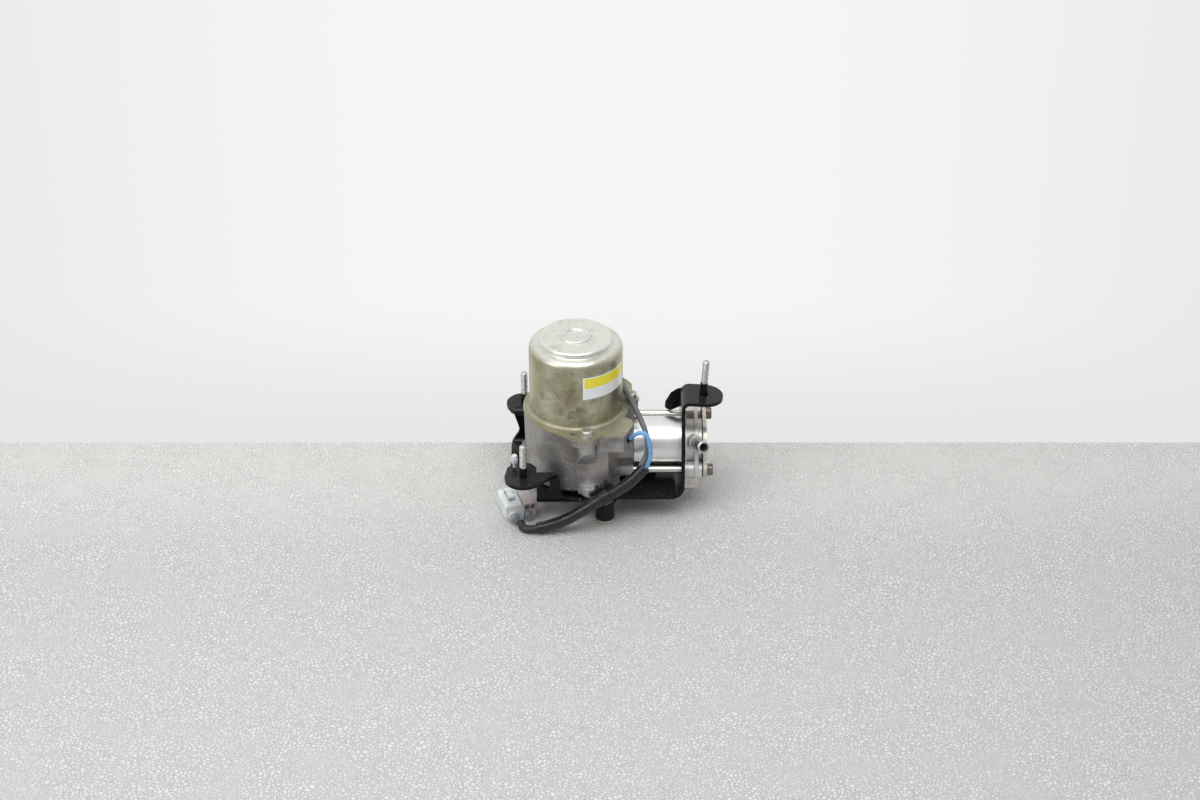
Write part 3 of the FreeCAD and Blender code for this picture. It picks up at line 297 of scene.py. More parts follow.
def near(tree, centre, radius):
    """1 at a point given about the motor axis, falling to 0 at the radius, with a broken edge."""
    place = object_place(tree)
    middle = add(tree, "ShaderNodeVectorMath", {0: place, 1: tuple(Vector(centre) + AXIS)},
                 operation="DISTANCE").outputs["Value"]
    frayed = plus(tree, middle,
                   times(tree, noise_at(tree, place, 160.0, 5.0, 0.65), radius * 0.9))
    return remap(tree, frayed, radius * 0.45, radius * 1.45, 1.0, 0.0)


def stained(tree, colour, stains):
    """Colour with soft stains, each a (centre, radius, colour, share)."""
    for centre, radius, tint, share in stains:
        colour = mixed(tree, times(tree, near(tree, centre, radius), share), colour, tint)
    return colour


# Stains: centre about the motor axis, radius, colour and share
CAN_STAINS = (((-0.004, -0.040, 0.121), 0.012, (0.17, 0.12, 0.07), 0.5),
              ((-0.012, -0.038, 0.110), 0.014, (0.16, 0.13, 0.08), 0.45),
              ((0.003, -0.040, 0.107), 0.010, (0.14, 0.10, 0.06), 0.5),
              ((-0.036, -0.018, 0.125), 0.02, (0.42, 0.43, 0.24), 0.5),
              ((0.030, -0.034, 0.092), 0.016, (0.24, 0.2, 0.13), 0.45),
              ((0.041, -0.010, 0.092), 0.012, (0.22, 0.17, 0.11), 0.5))


# Heights between which the can's flange, the painted shade on its foot, its specks and the painted
# reflection on its top disc begin or end
CAN_FLANGE = (0.0885, 0.0915)
CAN_FOOT_SHADE = (0.0925, 0.101)
CAN_SPECKS = (0.140, 0.155)
CAN_DISC_REFLECTION = (0.149, 0.157)
# Where the can is dirtiest: centre about the motor axis, and radius
CAN_DIRT = (((-0.004, -0.040, 0.116), 0.036), ((0.004, -0.044, 0.094), 0.03))


def can_finish(look):
    """Yellow-passivated deep-drawn steel with brown bloom and dark specks."""
    material, tree, shader = blank("passivated_steel", 0.82)
    drawn = effect(tree, "tool_lines", across_x=900.0, across_y=900.0, across_z=40.0)["Value"]
    tone = noise_at(tree, object_place(tree), 42.0, 4.0)
    side = mixed(tree, remap(tree, tone, 0.35, 0.65), look.can_pale, look.can_olive)
    height = in_frame(tree)[2]
    side = mixed(tree, remap(tree, height, *CAN_FLANGE, 1.0, 0.0), side, look.can_flange)
    # Painted reflection: the raised top disc is given a paler colour, as the bright surroundings
    # would light it
    base = mixed(tree, remap(tree, height, *CAN_DISC_REFLECTION), side, look.can_top_reflection)
    grime = grime_mask(tree, 75.0, 1500.0, 0.5)
    worst = maths(tree, "MAXIMUM", *(near(tree, *patch) for patch in CAN_DIRT))
    share = times(tree, grime, plus(tree, 0.3, times(tree, worst, 0.7)))
    dirty = stained(tree, mixed(tree, share, base, look.can_brown), CAN_STAINS)
    speck = effect(tree, "fine_speckle", scale=1500.0, cover=0.32)["Mask"]
    speck_share = remap(tree, height, *CAN_SPECKS, 0.5, 0.25)
    dirty = mixed(tree, times(tree, speck, speck_share), dirty, (0.08, 0.06, 0.035))
    # Painted shade: the concave foot of the can is darkened, and made rougher, in place of the
    # highlight its flare would catch
    shaded_foot = remap(tree, height, *CAN_FOOT_SHADE, 1.0, 0.0)
    dirty = mixed(tree, times(tree, shaded_foot, 0.45), dirty, look.can_foot_shade)
    colour_to(tree, shader, dirty)
    dull = maths(tree, "MAXIMUM", grime, shaded_foot)
    rough_to(tree, shader, plus(tree, times(tree, dull, 0.6), times(tree, drawn, 0.4)), 0.27, 0.6)
    bump_to(tree, shader, plus(tree, drawn, times(tree, speck, 0.6)), 0.00006, 0.5)
    return material


CASE_STAINS = (((-0.002, -0.045, 0.073), 0.015, (0.2, 0.165, 0.13), 0.5),
               ((-0.020, -0.040, 0.070), 0.014, (0.16, 0.14, 0.12), 0.5),
               ((-0.040, -0.020, 0.085), 0.018, (0.42, 0.42, 0.4), 0.5),
               ((-0.018, -0.041, 0.050), 0.022, (0.1, 0.1, 0.1), 0.6),
               ((0.010, -0.048, 0.036), 0.012, (0.62, 0.61, 0.6), 0.8),
               ((0.016, -0.046, 0.056), 0.014, (0.4, 0.35, 0.33), 0.5),
               ((0.036, -0.036, 0.058), 0.018, (0.6, 0.53, 0.51), 0.7))
HEAD_STAINS = (((0.098, 0.010, 0.076), 0.016, (0.22, 0.13, 0.07), 0.7),
               ((0.100, -0.022, 0.030), 0.014, (0.25, 0.17, 0.11), 0.6))


def casting_finish(name, pale, dark, brown, cover, roughness, stains):
    """Bare aluminium casting that has weathered, stained brown in places."""
    material, tree, shader = blank(name, 0.62)
    skin = effect(tree, "cast_skin", scale=1500.0)
    base = mixed(tree, remap(tree, skin["Tone"], 0.35, 0.65), pale, dark)
    grime = grime_mask(tree, 95.0, 1100.0, cover)
    base = mixed(tree, times(tree, grime, 0.7), base, brown)
    speck = effect(tree, "fine_speckle", scale=600.0, cover=0.28)["Mask"]
    base = mixed(tree, times(tree, speck, 0.2), base, (0.8, 0.79, 0.76))
    base = stained(tree, base, stains)
    edges = effect(tree, "edge_wear_and_highlight", radius=0.0008, strength=3.0)
    wear_and_highlight = times(tree, edges["Mask"], 0.7)
    colour_to(tree, shader, mixed(tree, wear_and_highlight, base, (0.82, 0.81, 0.79)))
    rough_to(tree, shader, maths(tree, "MAXIMUM", grime, skin["Height"]),
             roughness - 0.14, roughness + 0.14)
    bump_to(tree, shader, skin["Height"], 0.00022, 0.6, edges)
    return material


def turned_finish(name, colour, roughness, lines, dirt=0.15):
    """Machined metal with fine lines, whose scale is given on X, Y and Z."""
    material, tree, shader = blank(name, 1.0)
    x, y, z = lines
    lines = effect(tree, "tool_lines", across_x=x, across_y=y, across_z=z)["Value"]
    grime = grime_mask(tree, 130.0, 1400.0, 0.25)
    dull = tuple(0.35 * channel for channel in colour)
    bright = mixed(tree, remap(tree, lines, 0.3, 0.7, 0.0, 0.25), colour, dull)
    colour_to(tree, shader, mixed(tree, times(tree, grime, dirt), bright, (0.16, 0.12, 0.08)))
    rough_to(tree, shader, plus(tree, times(tree, lines, 0.5),
                                 times(tree, grime, 0.5)), roughness, roughness + 0.2)
    bump_to(tree, shader, lines, 0.00002, 0.5)
    return material


def plated_finish(name, colour, roughness, rust=0.2):
    """Zinc or oxide plating on steel, a little mottled and browned."""
    material, tree, shader = blank(name, 0.9)
    place = object_place(tree)
    mottle = noise_at(tree, place, 420.0, 5.0, 0.65)
    base = mixed(tree, remap(tree, mottle, 0.3, 0.7), colour, tuple(0.6 * c for c in colour))
    grime = grime_mask(tree, 160.0, 1800.0, 0.3)
    base = mixed(tree, times(tree, grime, rust), base, (0.2, 0.11, 0.05))
    edges = effect(tree, "edge_wear_and_highlight", radius=0.0004, strength=3.0)["Mask"]
    pale = tuple(min(1.0, 1.35 * channel) for channel in colour)
    colour_to(tree, shader, mixed(tree, times(tree, edges, 0.6), base, pale))
    rough_to(tree, shader, mottle, roughness - 0.08, roughness + 0.16)
    bump_to(tree, shader, mottle, 0.00005, 0.5)
    return material


def bolt_finish(look):
    """Tie bolts: bright shanks, and heads that have browned."""
    material, tree, shader = blank("tie_bolt_steel", 0.9)
    place = object_place(tree)
    head = remap(tree, in_frame(tree)[0], look.bolt_seat - 0.0001, look.bolt_seat + 0.0001)
    mottle = noise_at(tree, place, 420.0, 5.0, 0.65)
    patches = remap(tree, mottle, 0.3, 0.7)
    shank = mixed(tree, patches, look.zinc, tuple(0.75 * channel for channel in look.zinc))
    brown = mixed(tree, patches, (0.13, 0.1, 0.09), (0.28, 0.24, 0.22))
    colour_to(tree, shader, mixed(tree, head, shank, brown))
    rough_to(tree, shader, plus(tree, times(tree, head, 0.6), times(tree, mottle, 0.4)), 0.16, 0.5)
    bump_to(tree, shader, mottle, 0.00004, 0.5)
    return material


def paint_finish(look):
    """Glossy dipped paint on pressed steel: a slight orange peel, dust that is also a painted sheen
    on what faces up, and thin edges lightened as a painted highlight.
    """
    gloss = {"Specular IOR Level": 0.18, "Coat Weight": 0.05, "Coat Roughness": 0.05}
    material, tree, shader = blank("dipped_paint", 0.0, **gloss)
    place = object_place(tree)
    dust_and_sheen = effect(tree, "settled_dust_and_sheen", amount=0.08, scale=700.0)["Mask"]
    edges = effect(tree, "edge_wear_and_highlight", radius=0.0006, strength=2.0)
    # Up-facing paint is lightened: dust, and a painted sheen of the bright surroundings
    base = mixed(tree, dust_and_sheen, look.paint, (0.3, 0.3, 0.29))
    # Painted highlight: edges of the paint are lightened, for thin paint and for the light they
    # would catch
    wear_and_highlight = times(tree, edges["Mask"], 0.2)
    colour_to(tree, shader, mixed(tree, wear_and_highlight, base, (0.22, 0.22, 0.22)))
    peel = noise_at(tree, place, 800.0, 3.0)
    rough_to(tree, shader, plus(tree, times(tree, dust_and_sheen, 2.0), times(tree, peel, 0.3)), 0.12, 0.4)
    bump_to(tree, shader, peel, 0.00006, 0.35, edges)
    return material


def polymer_finish(name, colour, roughness, grain=900.0, depth=0.00005, dirt=0.25,
                   dirt_colour=(0.14, 0.12, 0.1), coat=0.0, dust_amount=0.12, gloss=0.5):
    """Moulded plastic or rubber with fine grain and handling dirt."""
    material, tree, shader = blank(name, 0.0, **{"Coat Weight": coat, "Specular IOR Level": gloss})
    place = object_place(tree)
    fine = noise_at(tree, place, grain, 5.0, 0.6)
    tone = mixed(tree, remap(tree, noise_at(tree, place, 160.0, 3.0), 0.3, 0.7), colour,
                 tuple(0.78 * channel for channel in colour))
    grime = grime_mask(tree, 200.0, 1500.0, 0.34)
    base = mixed(tree, times(tree, grime, dirt), tone, dirt_colour)
    dust_and_sheen = effect(tree, "settled_dust_and_sheen", amount=dust_amount, scale=900.0)["Mask"]
    colour_to(tree, shader, mixed(tree, dust_and_sheen, base, (0.4, 0.39, 0.37)))
    rough_to(tree, shader, plus(tree, times(tree, fine, 0.5),
                                 times(tree, grime, 0.5)), roughness - 0.06, roughness + 0.2)
    bump_to(tree, shader, fine, depth, 0.6)
    return material


LABEL_FIELD = 0.0094      # height of the yellow field
LABEL_LEFT = math.radians(-79.2)


def label_finish(look):
    """Printed foil with a yellow field over a white one, scuffed at random."""
    material, tree, shader = blank("label_foil", 0.0, **{"Coat Weight": 0.3})
    place = in_frame(tree)
    around = maths(tree, "ARCTAN2", maths(tree, "SUBTRACT", place[1], AXIS.y),
                   maths(tree, "SUBTRACT", place[0], AXIS.x))
    above = maths(tree, "GREATER_THAN", place[2], look.label_split)
    below = maths(tree, "LESS_THAN", place[2], look.label_split + LABEL_FIELD)
    inside = maths(tree, "GREATER_THAN", around, LABEL_LEFT)
    field = times(tree, times(tree, above, below), inside)
    base = mixed(tree, field, look.label_white, look.label_yellow)
    grime = grime_mask(tree, 140.0, 1600.0, 0.3)
    colour_to(tree, shader, mixed(tree, times(tree, grime, 0.35), base, (0.3, 0.26, 0.16)))
    rough_to(tree, shader, grime, 0.28, 0.5)
    place = object_place(tree)
    bump_to(tree, shader, noise_at(tree, place, 500.0, 3.0), 0.00004, 0.4)
    return material


# Finishes made by the general functions; a colour given by name is one of the look's

TURNED = {
    "polished_barrel": dict(colour="barrel", roughness=0.26, lines=(2600.0, 60.0, 60.0), dirt=0.1),
    "machined_steel": dict(colour=(0.6, 0.6, 0.62), roughness=0.24, lines=(300.0, 300.0, 1500.0)),
    "rod_alloy": dict(colour=(0.7, 0.7, 0.69), roughness=0.3, lines=(400.0, 400.0, 900.0)),
    "core_steel": dict(colour=(0.32, 0.32, 0.34), roughness=0.4, lines=(60.0, 60.0, 4000.0)),
    "copper_wire": dict(colour=(0.75, 0.33, 0.16), roughness=0.3, lines=(500.0, 500.0, 2500.0)),
    "brass_sheet": dict(colour=(0.75, 0.56, 0.25), roughness=0.28, lines=(900.0, 200.0, 200.0)),
}
PLATED = {
    "zinc_plate": dict(colour="zinc", roughness=0.32, rust=0.25),
    "cover_zinc": dict(colour=(0.74, 0.72, 0.63), roughness=0.38, rust=0.15),
    "nipple_steel": dict(colour=(0.7, 0.7, 0.7), roughness=0.24, rust=0.2),
    "browned_steel": dict(colour=(0.15, 0.125, 0.115), roughness=0.38, rust=0.5),
    "washer_gold": dict(colour=(0.9, 0.87, 0.76), roughness=0.34, rust=0.2),
}
MOULDED = {
    "ferrite": dict(colour=(0.09, 0.09, 0.095), roughness=0.6),
    "carbon_block": dict(colour=(0.04, 0.04, 0.042), roughness=0.5),
    "phenolic_board": dict(colour=(0.24, 0.11, 0.05), roughness=0.42),
    "gasket_fibre": dict(colour=(0.05, 0.045, 0.042), roughness=0.7),
    "grey_silicone": dict(colour=(0.27, 0.28, 0.3), roughness=0.5),
    "black_rubber": dict(colour=(0.008, 0.008, 0.009), roughness=0.62, grain=700.0, depth=0.0001,
                         dirt_colour=(0.06, 0.055, 0.05), dust_amount=0.04, gloss=0.3),
    "blue_insulation": dict(colour="blue_wire", roughness=0.36, grain=500.0, depth=0.00003,
                            dirt=0.3, dirt_colour=(0.05, 0.09, 0.15), coat=0.2),
    "grey_sleeve": dict(colour="grey_wire", roughness=0.5, grain=1600.0, depth=0.0001,
                        dirt=0.3, dirt_colour=(0.1, 0.09, 0.08)),
    "vinyl_sheath": dict(colour="sheath", roughness=0.24, grain=260.0, depth=0.0004, dirt=0.2,
                         dirt_colour=(0.06, 0.06, 0.06), coat=0.25, dust_amount=0.04, gloss=0.4),
    "wound_tape": dict(colour=(0.018, 0.019, 0.021), roughness=0.42, depth=0.00008, dirt=0.3,
                       dirt_colour=(0.07, 0.07, 0.07), coat=0.1, dust_amount=0.05, gloss=0.4),
    "aged_nylon": dict(colour="nylon", roughness=0.4, grain=700.0, depth=0.00004, dirt=0.22,
                       dirt_colour=(0.3, 0.28, 0.26), coat=0.15),
    "retainer_nylon": dict(colour="pink_nylon", roughness=0.42, grain=700.0, depth=0.00004,
                           dirt_colour=(0.3, 0.25, 0.22), coat=0.1),
}
KINDS = ((TURNED, turned_finish), (PLATED, plated_finish), (MOULDED, polymer_finish))
OWN_FINISHES = {
    "passivated_steel": can_finish,
    "label_foil": label_finish,
    "dipped_paint": paint_finish,
    "tie_bolt_steel": bolt_finish,
    "case_casting": lambda look: casting_finish("case_casting", look.case_pale, look.case_dark,
                                                (0.17, 0.12, 0.08), 0.36, 0.5, CASE_STAINS),
    "head_casting": lambda look: casting_finish("head_casting", look.head_pale, look.head_dark,
                                                (0.2, 0.15, 0.1), 0.3, 0.42, HEAD_STAINS),
}


def finish(name):
    """A finish by name, made once."""
    found = bpy.data.materials.get(name)
    if found:
        return found
    look = bpy.context.scene.pump_look
    for table, maker in KINDS:
        if name in table:
            values = dict(table[name])
            if isinstance(values["colour"], str):
                values["colour"] = getattr(look, values["colour"])
            return maker(name, **values)
    return OWN_FINISHES[name](look)


def dress(finish_name, *nodes):
    """Gives CAD nodes a finish, in place of the plain one they came with."""
    material = finish(finish_name)
    for node in nodes:
        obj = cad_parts[node]
        if obj.material_slots:
            for place in obj.material_slots:
                place.material = material
        else:
            obj.data.materials.append(material)


# Meshes

def into_scene(obj):
    bpy.context.scene.collection.objects.link(obj)


def piece_from(name, verts, faces, finishes, body="pump", smooth=True):
    """Mesh object from vertices and faces, riding on a body."""
    mesh = bpy.data.meshes.new(name)
    mesh.from_pydata(verts, [], faces)
    mesh.validate()
    for finish_name in finishes:
        mesh.materials.append(finish(finish_name))
    mesh.polygons.foreach_set("use_smooth", [smooth] * len(mesh.polygons))
    made = bpy.data.objects.new(name, mesh)
    into_scene(made)
    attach(made, body)
    return made


def skin_rows(rows):
    """Vertices and faces of a closed tube through rings of equal size, with fan caps."""
    around = len(rows[0])
    verts = [point for row in rows for point in row]
    faces = []
    for start in range(0, len(verts) - around, around):
        for k in range(around):
            a, b = start + k, start + (k + 1) % around
            faces.append((a, b, b + around, a + around))
    for row, flip in ((0, True), (len(rows) - 1, False)):
        centre = len(verts)
        verts.append(sum((Vector(p) for p in rows[row]), Vector()) / around)
        for k in range(around):
            a, b = row * around + k, row * around + (k + 1) % around
            faces.append((b, a, centre) if flip else (a, b, centre))
    return verts, faces


def smooth_line(route):
    """Points along the NURBS line of a route, read from a curve with no bevel."""
    curve = route_curve("route", route, 0.0)
    holder = bpy.data.objects.new("route", curve)
    into_scene(holder)
    bpy.context.view_layer.update()
    mesh = bpy.data.meshes.new_from_object(holder)
    line = [v.co.copy() for v in mesh.vertices]
    bpy.data.objects.remove(holder)
    bpy.data.curves.remove(curve)
    bpy.data.meshes.remove(mesh)
    return line


def tube_rows(line, around, radius_at):
    """Rings across a line, turned as little as possible from one to the next."""
    rows = []
    side = None
    travelled = 0.0
    for i, here in enumerate(line):
        along = (line[min(i + 1, len(line) - 1)] - line[max(i - 1, 0)]).normalized()
        if side is None:
            side = along.orthogonal().normalized()
        else:
            travelled += (here - line[i - 1]).length
            side = (side - along * side.dot(along)).normalized()
        up = along.cross(side)
        row = []
        for k in range(around):
            angle = 2 * math.pi * k / around
            out = side * math.cos(angle) + up * math.sin(angle)
            row.append(here + out * radius_at(travelled, angle, here))
        rows.append(row)
    return rows


def route_curve(name, route, radius):
    """Curve of one smooth NURBS spline with the route's points as its control points."""
    curve = bpy.data.curves.new(name, "CURVE")
    curve.dimensions = "3D"
    spline = curve.splines.new("NURBS")
    spline.points.add(len(route) - 1)
    for point, place in zip(spline.points, route):
        point.co = (*(Vector(place) + AXIS), 1.0)
    spline.order_u = 3
    spline.use_endpoint_u = True
    curve.resolution_u = 16
    curve.bevel_depth = radius
    curve.bevel_resolution = 5
    curve.use_fill_caps = True
    return curve


def line_length(line):
    return sum((b - a).length for a, b in zip(line, line[1:]))


# Sizes and colours

class PumpCords(bpy.types.PropertyGroup):
    """Sizes of the wiring."""
    blue: bpy.props.FloatProperty(name="Blue wire", description="Diameter of the blue lead",
                                  default=0.0037, unit="LENGTH")
    grey: bpy.props.FloatProperty(name="Grey wire", description="Diameter of the sleeved lead",
                                  default=0.0048, unit="LENGTH")
    sheath: bpy.props.FloatProperty(name="Sheath", description="Diameter of the vinyl sheath",
                                    default=0.0104, unit="LENGTH")
    tail: bpy.props.FloatProperty(name="Tail", description="Diameter of the taped tail",
                                  default=0.0072, unit="LENGTH")
    tape_step: bpy.props.FloatProperty(name="Tape step", description="Advance of the tape a turn",
                                       default=0.0042, unit="LENGTH")


class PumpStuds(bpy.types.PropertyGroup):
    """Sizes of the three threaded studs."""
    radius: bpy.props.FloatProperty(name="Radius", description="Outer radius of the thread",
                                    default=0.003, unit="LENGTH")
    pitch: bpy.props.FloatProperty(name="Pitch", description="Advance of the thread a turn",
                                   default=0.001, unit="LENGTH")
    depth: bpy.props.FloatProperty(name="Depth", description="Depth of the thread",
                                   default=0.00036, unit="LENGTH")
    grip: bpy.props.FloatProperty(name="Bare length", default=0.020, unit="LENGTH",
                                  description="Threaded length above the paint")
    collar: bpy.props.FloatProperty(name="Painted length", default=0.010, unit="LENGTH",
                                    description="Length above the ear that the paint covers")
    long_collar: bpy.props.FloatProperty(name="Painted length, right",
                                         description="The same on the right ear",
                                         default=0.012, unit="LENGTH")
    flange: bpy.props.FloatProperty(name="Flange radius", default=0.0055, unit="LENGTH",
                                    description="Radius of the pressed head under the ear")


def colour_property(name, description, default):
    return bpy.props.FloatVectorProperty(name=name, description=description, default=default,
                                         subtype="COLOR", min=0.0, max=1.0)


class PumpLook(bpy.types.PropertyGroup):
    """Colours of the finishes."""
    can_pale: colour_property("Can, pale", "Passivated steel, clean", (0.52, 0.505, 0.38))
    can_olive: colour_property("Can, olive", "Passivated steel, drifting to olive",
                               (0.36, 0.34, 0.22))
    # Paler colour of the raised disc, a painted reflection
    can_top_reflection: colour_property("Can, top", "Passivated steel of the raised disc", (0.76, 0.77, 0.71))
    can_brown: colour_property("Can, brown", "Dirt bloom on the can", (0.15, 0.11, 0.055))
    # Darker colour of the can's concave foot, a painted shade
    can_foot_shade: colour_property("Can, foot", "Dull foot of the can", (0.36, 0.34, 0.25))
    can_flange: colour_property("Can, flange", "Flange on the casting", (0.62, 0.6, 0.5))
    case_pale: colour_property("Case, pale", "Clean casting", (0.38, 0.365, 0.35))
    case_dark: colour_property("Case, dark", "Weathered casting", (0.19, 0.18, 0.175))
    head_pale: colour_property("Head, pale", "Clean head casting", (0.82, 0.81, 0.79))
    head_dark: colour_property("Head, dark", "Weathered head casting", (0.56, 0.54, 0.52))
    barrel: colour_property("Barrel", "Bright turned barrel", (0.93, 0.93, 0.93))
    paint: colour_property("Paint", "Bracket paint", (0.004, 0.004, 0.0045))
    zinc: colour_property("Zinc", "Plated hardware", (0.7, 0.69, 0.64))
    blue_wire: colour_property("Blue wire", "Insulation of the blue lead", (0.17, 0.4, 0.74))
    grey_wire: colour_property("Grey wire", "Sleeve of the other lead", (0.13, 0.13, 0.135))
    sheath: colour_property("Sheath", "Vinyl over both leads", (0.01, 0.011, 0.014))
    nylon: colour_property("Housing", "Connector housing", (0.76, 0.79, 0.79))
    pink_nylon: colour_property("Retainer", "Connector retainer", (0.54, 0.48, 0.455))
    label_yellow: colour_property("Label, upper", "Upper field of the label", (0.86, 0.73, 0.03))
    label_white: colour_property("Label, lower", "Lower field of the label", (0.82, 0.83, 0.82))
    label_split: bpy.props.FloatProperty(name="Label split", default=0.1312, unit="LENGTH",
                                         description="Height at which the two fields meet")
    bolt_seat: bpy.props.FloatProperty(name="Bolt seat", default=0.0811, unit="LENGTH",
                                       description="X at which the tie bolts' heads begin")


class PumpStage(bpy.types.PropertyGroup):
    """Camera, floor, wall and lamps."""
    eye: bpy.props.FloatVectorProperty(name="Camera", description="Place of the camera",
                                       default=(-0.01115, -1.7056, 1.1564), subtype="TRANSLATION")
    tilt: bpy.props.FloatProperty(name="Tilt", description="Turn of the camera from straight down",
                                  default=math.radians(58.1), subtype="ANGLE")
    lens: bpy.props.FloatProperty(name="Lens", description="Focal length in millimetres",
                                  default=70.0)
    wall_at: bpy.props.FloatProperty(name="Wall", description="Distance of the wall behind",
                                     default=0.0790, unit="LENGTH")
    floor: colour_property("Floor", "Grained floor sheet in front", (0.63, 0.63, 0.62))
    # Lighter floor along the wall, a painted light
    floor_far_lit: colour_property("Floor, far", "The same along the wall", (0.67, 0.66, 0.64))
    wall: colour_property("Wall", "Smooth wall", (0.9, 0.9, 0.9))
    wall_seen: colour_property("Wall, seen", "Wall as the camera sees it", (0.91, 0.915, 0.91))
    # The next two are painted shade on the wall, along its foot and at both sides
    wall_foot_shade: colour_property("Wall, foot", "The same just above the floor", (0.79, 0.795, 0.795))
    wall_side_shade: colour_property("Wall, aside", "The same at both sides", (0.79, 0.79, 0.785))
    ambient: bpy.props.FloatProperty(name="Ambient", description="Strength of the sky",
                                     default=0.5)
    key: bpy.props.FloatProperty(name="Overhead lamp", description="Power of the overhead lamp",
                                 default=20.0, unit="POWER")
    side: bpy.props.FloatProperty(name="Side lamp", description="Power of the lamp at the left",
                                  default=9.0, unit="POWER")


# Operators

class PUMP_OT_camera(bpy.types.Operator):
    """Camera at the eye of the photograph"""
    bl_idname = "pump.camera"
    bl_label = "Camera"

    def execute(self, context):
        stage = context.scene.pump_stage
        data = bpy.data.cameras.new("camera")
        data.lens = stage.lens
        data.sensor_width = 36.0
        data.clip_start = 0.05
        camera = bpy.data.objects.new("camera", data)
        camera.location = stage.eye
        camera.rotation_euler = (stage.tilt, 0.0, 0.0)
        into_scene(camera)
        context.scene.camera = camera
        return {"FINISHED"}


class PUMP_OT_cords(bpy.types.Operator):
    """Blue and grey leads, the sheath that takes both, and the taped tail at the connector"""
    bl_idname = "pump.cords"
    bl_label = "Wiring"

    def lead(self, name, route, diameter, finish_name, slot):
        """Round lead from its rubber gland into the sheath."""
        curve = route_curve(name, route, diameter / 2)
        curve.materials.append(finish(finish_name))
        made = bpy.data.objects.new(name, curve)
        into_scene(made)
        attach(made, "pump")
        line_length(smooth_line(route))
        return made

    def tail(self, sizes):
        """Tape wound over the leads, each turn lapping the one before."""
        line = smooth_line(TAIL_ROUTE)

        def lapped(travelled, angle, here):
            turn = (travelled / sizes.tape_step + angle / (2 * math.pi)) % 1.0
            return sizes.tail / 2 * (0.93 + 0.07 * turn)

        verts, faces = skin_rows(tube_rows(fine_line(line, 0.0004), 28, lapped))
        tail = piece_from("tail_tape", verts, faces, ["wound_tape"])
        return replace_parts(tail, "harness_tail")

    def sheath(self, sizes, tail):
        """Loose vinyl sheath, its radius waved by noise all along so that it looks creased."""
        line = fine_line(smooth_line(SHEATH_ROUTE), 0.0008)

        def creased(travelled, angle, here):
            wave = noise.noise(Vector((here.x * 160, here.y * 160, here.z * 160 + angle * 0.4)))
            return sizes.sheath / 2 * (0.985 + 0.03 * wave)

        verts, faces = skin_rows(tube_rows(line, 32, creased))
        sheath = piece_from("vinyl_sheath", verts, faces, ["vinyl_sheath"])
        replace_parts(sheath, "harness_sheath")

    def execute(self, context):
        sizes = context.scene.pump_cords
        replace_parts(self.lead("blue_lead", BLUE_ROUTE, sizes.blue, "blue_insulation", "blue_wire"),
                    "wire_blue")
        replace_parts(self.lead("grey_lead", GREY_ROUTE, sizes.grey, "grey_sleeve", "grey_wire"),
                    "wire_grey")
        self.sheath(sizes, self.tail(sizes))
        dress("vinyl_sheath", "harness_clip")
        dress("black_rubber", "blue_grommet", "grey_grommet")
        return {"FINISHED"}


def fine_line(line, step):
    """The same line with points about step apart."""
    points = [line[0]]
    for a, b in zip(line, line[1:]):
        parts = max(1, round((b - a).length / step))
        points += [a.lerp(b, k / parts) for k in range(1, parts + 1)]
    return points


class PUMP_OT_motor(bpy.types.Operator):
    """Drawn can, its label and its flange screws"""
    bl_idname = "pump.motor"
    bl_label = "Motor"

    def execute(self, context):
        dress("passivated_steel", "motor_can")
        dress("label_foil", "can_sticker")
        dress("zinc_plate", "flange_screws")
        return {"FINISHED"}


class PUMP_OT_inside(bpy.types.Operator):
    """Everything that turns, slides or carries current inside"""
    bl_idname = "pump.inside"
    bl_label = "Inner works"

    def execute(self, context):
        dress("machined_steel", "bearing_cup", "upper_bearing_outer", "lower_bearing_outer",
              "motor_end_plate", "motor_shaft", "upper_bearing_inner", "upper_bearing_balls",
              "lower_bearing_inner", "lower_bearing_balls", "crank_disc", "big_end_bearing",
              "crank_pin", "piston_ring", "gudgeon_pin", "pin_circlips", "brush_springs",
              "valve_plate", "inlet_reed", "outlet_reed")
        dress("ferrite", "field_magnets")
        dress("core_steel", "armature_core")
        dress("copper_wire", "armature_windings", "commutator")
        dress("phenolic_board", "brush_plate")
        dress("brass_sheet", "brush_holders", "small_end_bush")
        dress("carbon_block", "carbon_brushes")
        dress("rod_alloy", "con_rod", "piston")
        dress("black_rubber", "head_o_ring")
        return {"FINISHED"}


class PUMP_OT_cylinder(bpy.types.Operator):
    """Crankcase, barrel, head, cover, tie bolts and hose nipple"""
    bl_idname = "pump.cylinder"
    bl_label = "Crankcase and cylinder"

    def execute(self, context):
        dress("case_casting", "crankcase")
        dress("polished_barrel", "cylinder_barrel")
        dress("head_casting", "cylinder_head")
        dress("gasket_fibre", "barrel_gasket", "cover_gasket")
        dress("cover_zinc", "cover_plate")
        dress("tie_bolt_steel", "tie_bolts")
        dress("nipple_steel", "hose_nipple")
        return {"FINISHED"}


